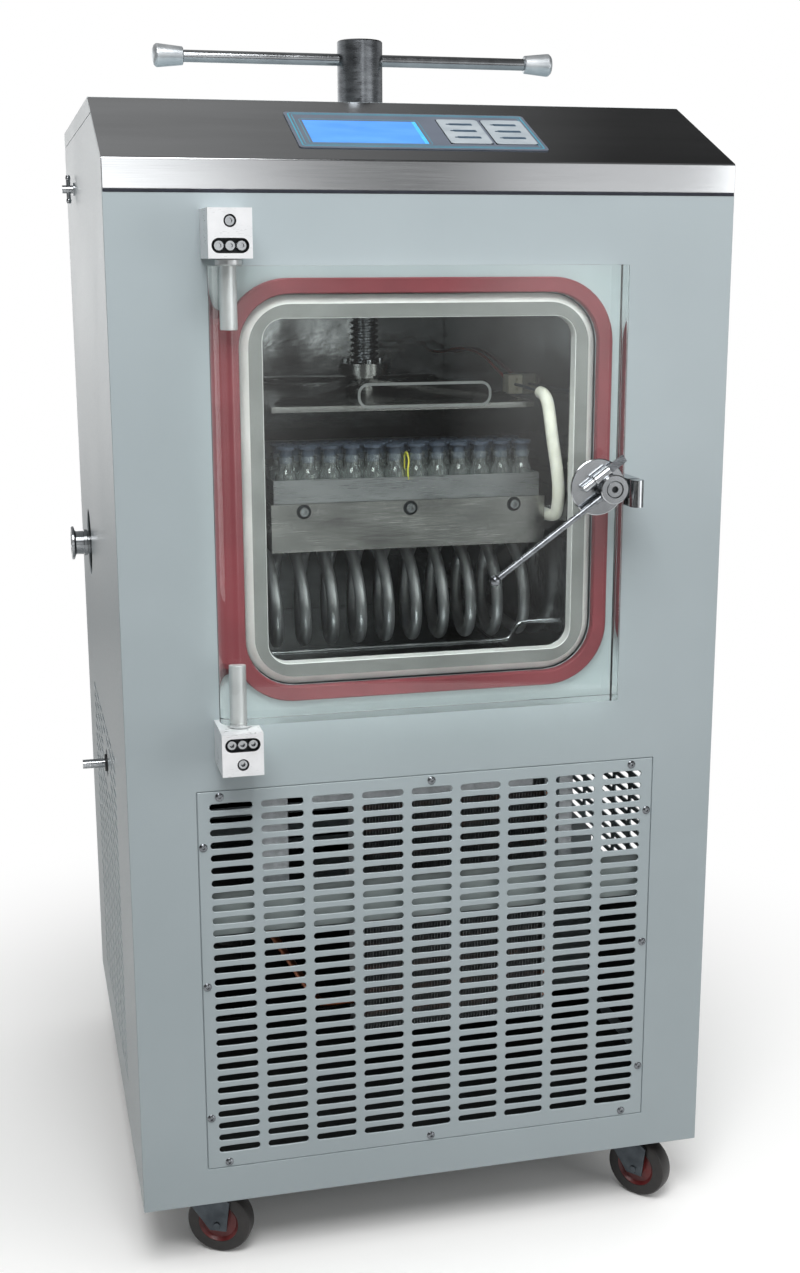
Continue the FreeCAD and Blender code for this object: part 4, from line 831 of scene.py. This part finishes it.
def makeDoor():
    slab = block(at(door["left"], door["face"], door["foot"]), at(door["right"], door["back"], door["top"]))
    pick(slab, "EDGE", lambda middle, facing: abs(facing.z) > 0.9 and middle.x < 0)
    bpy.ops.mesh.bevel(offset=door["bullNose"], segments=14)
    pick(slab, "EDGE", lambda middle, facing: abs(facing.z) > 0.9 and middle.x > 170)
    bpy.ops.mesh.bevel(offset=door["corner"], segments=5)
    finish(eased(slab, 0.7, 2, 60), "clearDoor", clearAcrylic, ["door_plate"], 25, body="door")
    x0, x1, z0, z1 = door["window"]
    middle = ((x0 + x1) / 2, (z0 + z1) / 2)
    wide, tall = x1 - x0, z1 - z0
    outline = roundedFrame([(wide, tall, 10, -45.95), (wide, tall, 10, -46.12), (wide - 5, tall - 5, 7.5, -46.12),
        (wide - 5, tall - 5, 7.5, -45.95)], middle)
    finish(outline, "etchedOutline", etchedAcrylic, body="door")
    for name, radius, ease, spans in (("hingePins", 6, 0.6, ((955, 1050), (558, 649))),
            ("hingeWashers", 12, 0.8, ((1011.1, 1016.6), (588.4, 592.9)))):
        bars = [bar(onHinge(z0), onHinge(z1), radius, 40, ease) for z0, z1 in spans]
        finish(joined(bars), name, pinSteel, ["hinge_pins"] if name == "hingePins" else (),
            body="door")


def makeHinges():
    screwX = hinge["screws"]
    for name, (foot, top, recess, single) in zip(("upper", "lower"), hinge["blocks"]):
        piece = block(at(-215, -54, foot), at(-176, 0, top))
        well = roundedCorners(block(at(-212, -60, recess - 6.5), at(-179, -47, recess + 6.5)), 6.4, 8, 1)
        cut(piece, well)
        cut(piece, bar(at(screwX, -60, single), at(screwX, -47, single), 5.6, 32, 0.01))
        cut(piece, bar(onHinge(foot - 5), onHinge(top + 5), 6.1, 40, 0.01))
        eased(piece, hinge["ease"], 3, 40)
        # The screw recess and the bolt's counterbore get painted shade.
        paintFaces(piece, [milledAluminium, shadeWell], lambda middle, facing: -53.2 < middle.y < -46
            and (abs(middle.z - recess) < 7 and abs(middle.x - screwX) < 17
            or math.hypot(middle.x - screwX, middle.z - single) < 5.8))
        finish(piece, name + "HingeBlock", None, ["hinge_block_" + name])


latch = {"x": 162, "z": 804, "angle": 215.8, "reach": 142, "offset": 16, "barY": -52.5}


def latchPoint(along, across, y):
    lever = math.radians(latch["angle"])
    aside = math.radians(latch["angle"] - 90)
    return at(latch["x"] + along * math.cos(lever) + across * math.cos(aside), y,
        latch["z"] + along * math.sin(lever) + across * math.sin(aside))


def crossPoint(along, y=latch["barY"]):  # on the latch's cross bar
    return latchPoint(along, latch["offset"], y)


def onPivot(y):
    return at(latch["x"], y, latch["z"])


def ball(middle, radius, steps=32):
    arc = [math.pi * step / 14 for step in range(15)]
    profile = [(radius * (1 - math.cos(angle)), radius * math.sin(angle)) for angle in arc]
    profile[0] = (0, 0)
    profile[-1] = (2 * radius, 0)
    return turned(middle - Vector((0, 0, radius / 1000)), (0, 0, 1), profile, steps)


def makeLatch():
    disc = turned(at(150, -46, 805), (0, -1, 0), [(0, 0), (0, 26.4), (0.5, 27), (1.4, 27), (2, 26.2), (2, 0)], 64)
    stud = bar(onPivot(-26), onPivot(-57), 5, 32)
    head = turned(onPivot(-57), (0, -1, 0), [(0, 0), (0, 7.8), (4.4, 7.8), (5, 7.2), (5, 3.2), (2.4, 3.2),
        (2.4, 0)], 40)
    pivot = joined([disc, stud, head])
    # The socket in the pivot's head gets painted shade.
    paintFaces(pivot, [turnedSteel, shadeWell], lambda middle, facing: middle.y < -58
        and math.hypot(middle.x - latch["x"], middle.z - latch["z"]) < 3.3)
    finish(pivot, "latchPivot", None, ["latch_pivot"], body="door")
    hub = turned(onPivot(-48.3), (0, -1, 0), [(0, 5.1), (0, 13.2), (0.8, 14), (13, 14), (14, 13), (14, 8.4),
        (8.2, 8.4), (8.2, 5.1), (0, 5.1)], 56)
    lug = bar(crossPoint(-8, -54), crossPoint(10, -54), 5.6, 32)
    finish(joined([hub, lug]), "latchHub", turnedSteel, ["latch_hub"], body="latch")
    lever = bar(latchPoint(13, 0, -55), latchPoint(latch["reach"] - 3, 0, -55), 3, 28)
    knob = ball(latchPoint(latch["reach"], 0, -55), 5.5)
    finish(joined([lever, knob]), "latchLever", screwSteel, ["latch_lever"], 40, body="latch")
    cross = bar(crossPoint(-4), crossPoint(23), 4, 32)
    finish(cross, "latchCross", turnedSteel, ["latch_bar"], body="latch")
    tip = bar(crossPoint(-27), crossPoint(-4), 4, 32)
    opened(tip)
    bpy.ops.mesh.bisect(plane_co=at(0, latch["barY"] - 0.4, 0), plane_no=(0, -1, 0), clear_outer=True,
        use_fill=True)
    finish(tip, "latchTip", screwSteel, body="latch")
    carry("latch_keeper", "latchKeeper", 0.8, turnedSteel, 3)


makeDoor()
makeHinges()
makeLatch()
print("door made")


# Fittings on the left side

port = {"flange": 20, "pipe": 14, "bore": 12, "end": -321.5}


def makeFittings():
    drainY, drainZ = fittings["drain"]
    valveY, valveZ = fittings["valve"]
    start = at(port["end"], *fittings["port"])
    length = -173 - port["end"]
    profile = [(0, 13), (0, port["flange"] - 0.4), (0.4, port["flange"]), (2.6, port["flange"]), (3.0, 19.6),
        (4.6, port["pipe"] + 0.6), (5.2, port["pipe"]), (14, port["pipe"]), (14.6, 15.6), (18.4, 15.6),
        (19, port["pipe"]), (length, port["pipe"]), (length, port["bore"]), (2.6, port["bore"]), (2.6, 13), (0, 13)]
    finish(turned(start, (1, 0, 0), profile, 64), "vacuumFlange", turnedSteel, ["vacuum_port"])
    route = [(-120, drainY, 586.9), (-120, drainY, 540), (-120, drainY, 490), (-121, drainY, 470),
        (-132, drainY, 459), (-150, drainY, drainZ), (-200, drainY, drainZ), (-260, drainY, drainZ),
        (-327, drainY, drainZ)]
    drain = tube(route, 5.2, 5)
    beads = [turned(at(x, drainY, drainZ), (1, 0, 0), [(0, 4.8), (0, 5.2), (1.2, 5.25), (2.4, 5.2), (2.4, 4.8),
        (0, 4.8)], 32) for x in (-325.5, -319.5)]
    finish(joined([drain] + beads), "drainPipe", turnedSteel, ["drain_tube"])
    sleeve = turned(at(-302.4, drainY, drainZ), (1, 0, 0), [(0, 5.6), (0, 9.4), (0.8, 10), (5, 10), (5, 7.6),
        (12, 7.0), (12, 5.6), (0, 5.6)], 40)
    finish(sleeve, "drainGrommet", blackPlastic)
    body = turned(at(-298, valveY, valveZ), (1, 0, 0), [(0, 4.7), (0, 11), (0.8, 11.8), (33, 11.8), (34, 11),
        (34, 4.7), (0, 4.7)], 6)
    neck = turned(at(-302, valveY, valveZ), (1, 0, 0), [(0, 4.7), (0, 6.4), (0.6, 7), (4.5, 7), (4.5, 4.7),
        (0, 4.7)], 40)
    finish(joined([body, neck]), "ventValveBody", turnedSteel, ["vent_valve"], 25)
    stem = turned(at(-314, valveY, valveZ), (1, 0, 0), [(0, 0), (0, 3.9), (0.6, 4.5), (33.6, 4.5), (33.6, 0)], 32)
    wing = bar(at(-307, valveY, 1078.6), at(-307, valveY, 1109.4), 2.5, 24)
    tips = [ball(at(-307, valveY, z), 3.0, 20) for z in (1081.7, 1106.3)]
    finish(joined([stem, wing] + tips), "ventValveWing", turnedSteel, ["valve_handle"], 45,
        body="valve")


makeFittings()
print("fittings made")


# Machine bay: frame, compressor, condenser, fan and pipes, seen through the vents

bay = {"finPitch": 3.2, "finThick": 0.35, "compressorX": -120, "compressorY": 440, "floor": 92}


def makeBay():
    strut = softened("inner_frame", 0.6, 1)
    # The frame takes the darker copy of the cabinet's coat, painted shade.
    paintFaces(strut, [shadedFramePaint, zincStrip], lambda middle, facing: 402 < middle.z < 539 and middle.y < 45)
    finish(strut, "weldedFrame", None, ["inner_frame"])
    x, y, floor = bay["compressorX"], bay["compressorY"], bay["floor"]
    can = turned(at(x, y, floor), (0, 0, 1), [(5, 0), (5, 76), (8, 77.5), (92, 77.5), (94, 81), (98, 81),
        (100, 77.5), (160, 77.5), (172, 75), (182, 70), (191, 60), (197, 46), (200, 24), (200, 0)], 64)
    foot = eased(block(at(x - 95, y - 70, floor), at(x + 95, y + 70, floor + 5)), 1.5)
    box = eased(block(at(x - 25, y - 77, floor + 60), at(x + 25, y - 66, floor + 120)), 4, 3)
    bolts = repeated(turned(Vector(), (0, 0, 1), [(0, 0), (0, 9), (5, 9), (6, 8), (12, 8), (12, 0)], 24),
        [at(x + 84 * i, y + 58 * j, floor + 5) for i in (-1, 1) for j in (-1, 1)])
    finish(joined([can, foot, box, bolts]), "compressorCan", blackEnamel, ["compressor"])
    low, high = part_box("air_condenser")
    fin = block(at(-59.8, 74, 210), at(-59.8 + bay["finThick"], 106, 480))
    arrayed(fin, int(202 / bay["finPitch"]), (bay["finPitch"] / 1000, 0, 0))
    ends = [eased(block(at(x0, 70, 205), at(x0 + 2, 110, 485)), 0.4) for x0 in (-62, 143)]
    finish(joined([fin] + ends), "condenserFins", finFoil, ["air_condenser"])
    pipes = []
    for row in range(10):
        z = 223 + row * 26
        pipes.append(bar(at(-61, 90, z), at(146, 90, z), 4, 20, 0.2))
    for row in range(5):
        z = 223 + row * 52
        pipes.append(tube([(145, 90, z), (150, 90, z), (156, 90, z + 2), (157.5, 90, z + 13), (156, 90, z + 24),
            (150, 90, z + 26), (145, 90, z + 26)], 4, 4))
    finish(joined(pipes), "condenserPipes", copperPipe, (), 50)
    carry("fan_shroud", "fanShroud", 0.6, blackPlastic)
    carry("fan", "fanWheel", 0.3, blackPlastic, 1, body="fan_wheel")
    suction = [(-192, 440, 240), (-226, 440, 240), (-235, 440, 248), (-235, 440, 300), (-235, 440, 480),
        (-235, 440, 528), (-230, 443, 546), (-192, 466, 592), (-186, 470, 602), (-185, 474, 624), (-185, 500, 730)]
    liquid = [(-120, 366, 240), (-120, 340, 240), (-120, 310, 240), (-118, 285, 240), (-102, 106, 240),
        (-98, 92, 240), (-84, 91, 240), (-62, 91, 240)]
    finish(joined([tube(suction, 4.6, 4), tube(liquid, 4.6, 4)]), "refrigerantPipes", copperPipe,
        ["copper_pipes"], 60)
    carry("electric_box", "electricBox", 1.2, cabinetPaint)
    carry("power_inlet", "powerInlet", 0.5, blackPlastic)


makeBay()
print("machine bay made")


# Casters

caster = {"radius": 34.5, "width": 22, "hub": 21.5, "axle": 4.2}


def otherHalf(half, width):  # a wheel's profile is the same on both sides
    return [(width - along, radius) for along, radius in reversed(half)]


def makeCasters():
    joints = {joint["name"]: joint for joint in frame["record"]["behaviour"]["joints"]}
    for corner in ("front_left", "front_right", "rear_left", "rear_right"):
        roll = joints["roll_" + corner]
        middle, axis = Vector(roll["pos_m"]), Vector(roll["axis"]).normalized()
        radius, width, hub = caster["radius"], caster["width"], caster["hub"]
        start = middle - axis * width / 2000
        half = [(0.6, hub), (0.6, radius - 4), (2.2, radius - 1.4), (5, radius - 0.2)]
        tyre = turned(start, axis, half + [(width / 2, radius)] + otherHalf(half, width) + half[:1], 56)
        finish(tyre, "tyre_" + corner, wheelTyre, ["caster_wheel_" + corner],
            body="wheel_" + corner)
        half = [(0.2, caster["axle"]), (0.2, 8.6), (3.6, 10), (4.4, 18.4), (1.6, hub - 0.6), (1.2, hub + 0.1)]
        ends = [(1.4, caster["axle"])]
        disc = turned(start, axis, ends + half + otherHalf(half, width) + ends, 56)
        finish(disc, "hub_" + corner, wheelHub, body="wheel_" + corner)
        fork = softened("caster_fork_" + corner, 0.7)
        nuts = [turned(middle + axis * side * 0.0125, axis * side, [(0, 0), (0, 5.4), (1.6, 5.4), (2.2, 4.8),
            (2.2, 0)], 6) for side in (-1, 1)]
        finish(joined([fork] + nuts), "fork_" + corner, forkSteel, ["caster_fork_" + corner],
            body="caster_" + corner)


makeCasters()
print("casters made")


# Floor, light and camera

studio = {"floorRadius": 2.7, "floor": "#FCFCFB", "floorGlow": "#5E5E5C", "above": 0.67, "below": 0.10,
    "fade": (0.36, 1.05), "lean": 0.45, "keyPower": 39, "fillPower": 9, "topPower": 22}


def makeFloor():
    clear()
    bpy.ops.mesh.primitive_circle_add(vertices=96, radius=studio["floorRadius"], fill_type="NGON")
    floor = settle(bpy.context.object, "studioFloor")
    material = bpy.data.materials.new("paleFloor")
    material.use_nodes = True
    tree = material.node_tree
    pale = tree.nodes["Principled BSDF"]
    pale.inputs["Base Color"].default_value = colour(studio["floor"])
    pale.inputs["Roughness"].default_value = 0.75
    path = addNode(tree, "LightPath").outputs
    glow = addNode(tree, "BsdfDiffuse", {"Color": colour(studio["floorGlow"])})  # what it throws back
    near = addNode(tree, "MixShader", links={0: path["Is Diffuse Ray"], 1: pale, 2: glow})
    place = addNode(tree, "TexCoord").outputs["Object"]
    away = addNode(tree, "VectorMath", links={0: place}, operation="LENGTH").outputs["Value"]
    fade = addNode(tree, "MapRange", {"From Min": studio["fade"][0], "From Max": studio["fade"][1]},
        {"Value": away}, interpolation_type="SMOOTHSTEP")
    seen = addNode(tree, "Math", links={0: path["Is Camera Ray"], 1: path["Is Transmission Ray"]},
        operation="MAXIMUM")
    amount = addNode(tree, "Math", links={0: fade, 1: seen}, operation="MULTIPLY")
    white = addNode(tree, "Emission", {"Strength": 1.0})
    mix = addNode(tree, "MixShader", links={0: amount, 1: near, 2: white})
    tree.links.new(mix.outputs[0], tree.nodes["Material Output"].inputs["Surface"])
    floor.data.materials.append(material)


room = {"strength": 3.0, "height": ((0.0, 0.08), (0.40, 0.20), (0.45, 0.62), (0.49, 0.82), (0.52, 0.82),
    (0.56, 0.72), (0.62, 0.30), (0.72, 0.14), (0.82, 0.13), (1.0, 0.12)),
    "front": ((0.0, 0.10), (0.25, 0.06), (0.42, 0.06), (0.475, 0.2), (0.508, 1.0), (0.538, 1.0), (0.575, 0.40),
    (0.605, 0.13), (0.632, 0.08), (0.655, 0.45), (0.70, 0.50), (0.78, 0.14), (1.0, 0.14)),
    "back": ((0.0, 0.3), (0.50, 0.9), (0.565, 0.76), (0.62, 0.46), (0.68, 0.10), (0.8, 0.12), (1.0, 0.3))}


def levelRamp(tree, source, levels):
    node = addNode(tree, "ValToRGB", links={"Fac": source})
    while len(node.color_ramp.elements) < len(levels):
        node.color_ramp.elements.new(1.0)
    for stop, (position, level) in zip(node.color_ramp.elements, levels):
        stop.position = position
        stop.color = (level, level, level, 1)
    return node


def makeSky():  # white where the camera looks past the object; metal mirrors a room with a window in front of it
    world = bpy.data.worlds.new("studioSky")
    bpy.context.scene.world = world
    world.use_nodes = True
    tree = world.node_tree
    tree.nodes.clear()
    direction = addNode(tree, "TexCoord").outputs["Generated"]
    x, y, z = addNode(tree, "SeparateXYZ", links={"Vector": direction}).outputs
    up = addNode(tree, "Math", {1: 0.5, 2: 0.5}, {0: z}, operation="MULTIPLY_ADD")
    aside = addNode(tree, "Math", {1: 0.5, 2: 0.5}, {0: x}, operation="MULTIPLY_ADD")
    behind = addNode(tree, "Math", {1: 0.0}, {0: y}, operation="GREATER_THAN")
    across = addNode(tree, "Mix", links={"Factor": behind, "A": levelRamp(tree, aside, room["front"]),
        "B": levelRamp(tree, aside, room["back"])}, data_type="FLOAT")
    walls = addNode(tree, "Math", links={0: across, 1: levelRamp(tree, up, room["height"])}, operation="MULTIPLY")
    walls = addNode(tree, "Math", {1: room["strength"]}, {0: walls}, operation="MULTIPLY")
    lean = addNode(tree, "Math", {1: studio["lean"]}, {0: x, 2: z}, operation="MULTIPLY_ADD")
    sky = addNode(tree, "MapRange", {"From Min": -0.4, "From Max": 0.6, "To Min": studio["below"],
        "To Max": studio["above"]}, {"Value": lean})
    path = addNode(tree, "LightPath").outputs
    through = addNode(tree, "Math", {1: 0.5}, {0: path["Glossy Depth"]}, operation="LESS_THAN")
    through = addNode(tree, "Math", links={0: through, 1: path["Is Transmission Ray"]}, operation="MULTIPLY")
    seen = addNode(tree, "Math", links={0: path["Is Camera Ray"], 1: through}, operation="MAXIMUM")
    metal = addNode(tree, "Math", links={0: path["Is Glossy Ray"], 1: path["Is Transmission Ray"]},
        operation="MAXIMUM")
    white = {"Color": (1, 1, 1, 1), "Strength": 1.0}
    soft, mirrored = (addNode(tree, "Background", white, {"Strength": source}) for source in (sky, walls))
    first = addNode(tree, "MixShader", links={0: metal, 1: soft, 2: mirrored})
    second = addNode(tree, "MixShader", links={0: seen, 1: first, 2: addNode(tree, "Background", white)})
    addNode(tree, "OutputWorld", links={"Surface": second})


def makeLamp(name, place, target, size, power, mirrored=True):
    clear()
    bpy.ops.object.light_add(type="AREA", location=place)
    lamp = bpy.context.object
    lamp.name = name
    lamp.rotation_euler = (Vector(target) - Vector(place)).to_track_quat("-Z", "Y").to_euler()
    lamp.data.shape = "RECTANGLE"
    lamp.data.size, lamp.data.size_y = size
    lamp.data.energy = power
    lamp.visible_glossy = mirrored


makeFloor()
makeSky()
makeLamp("keyLamp", (-0.42, -1.6, 2.5), (0, 0, 1.0), (1.1, 1.2), studio["keyPower"])
makeLamp("fillLamp", (1.6, -1.9, 0.8), (0, 0, 0.5), (1.0, 1.2), studio["fillPower"])
makeLamp("topLamp", (0.4, -0.9, 3.4), (0, 0, 0.9), (2.0, 1.6), studio["topPower"], False)

view = {"place": (-0.3873, -1.7858, 1.0162), "angles": (77.0035, 0.1314, -13.8276), "lens": 46.24}
clear()
bpy.ops.object.camera_add(location=view["place"], rotation=[math.radians(angle) for angle in view["angles"]])
bpy.context.scene.camera = bpy.context.object
bpy.context.object.data.lens = view["lens"]
bpy.context.scene.view_settings.view_transform = "Standard"
print("studio made")
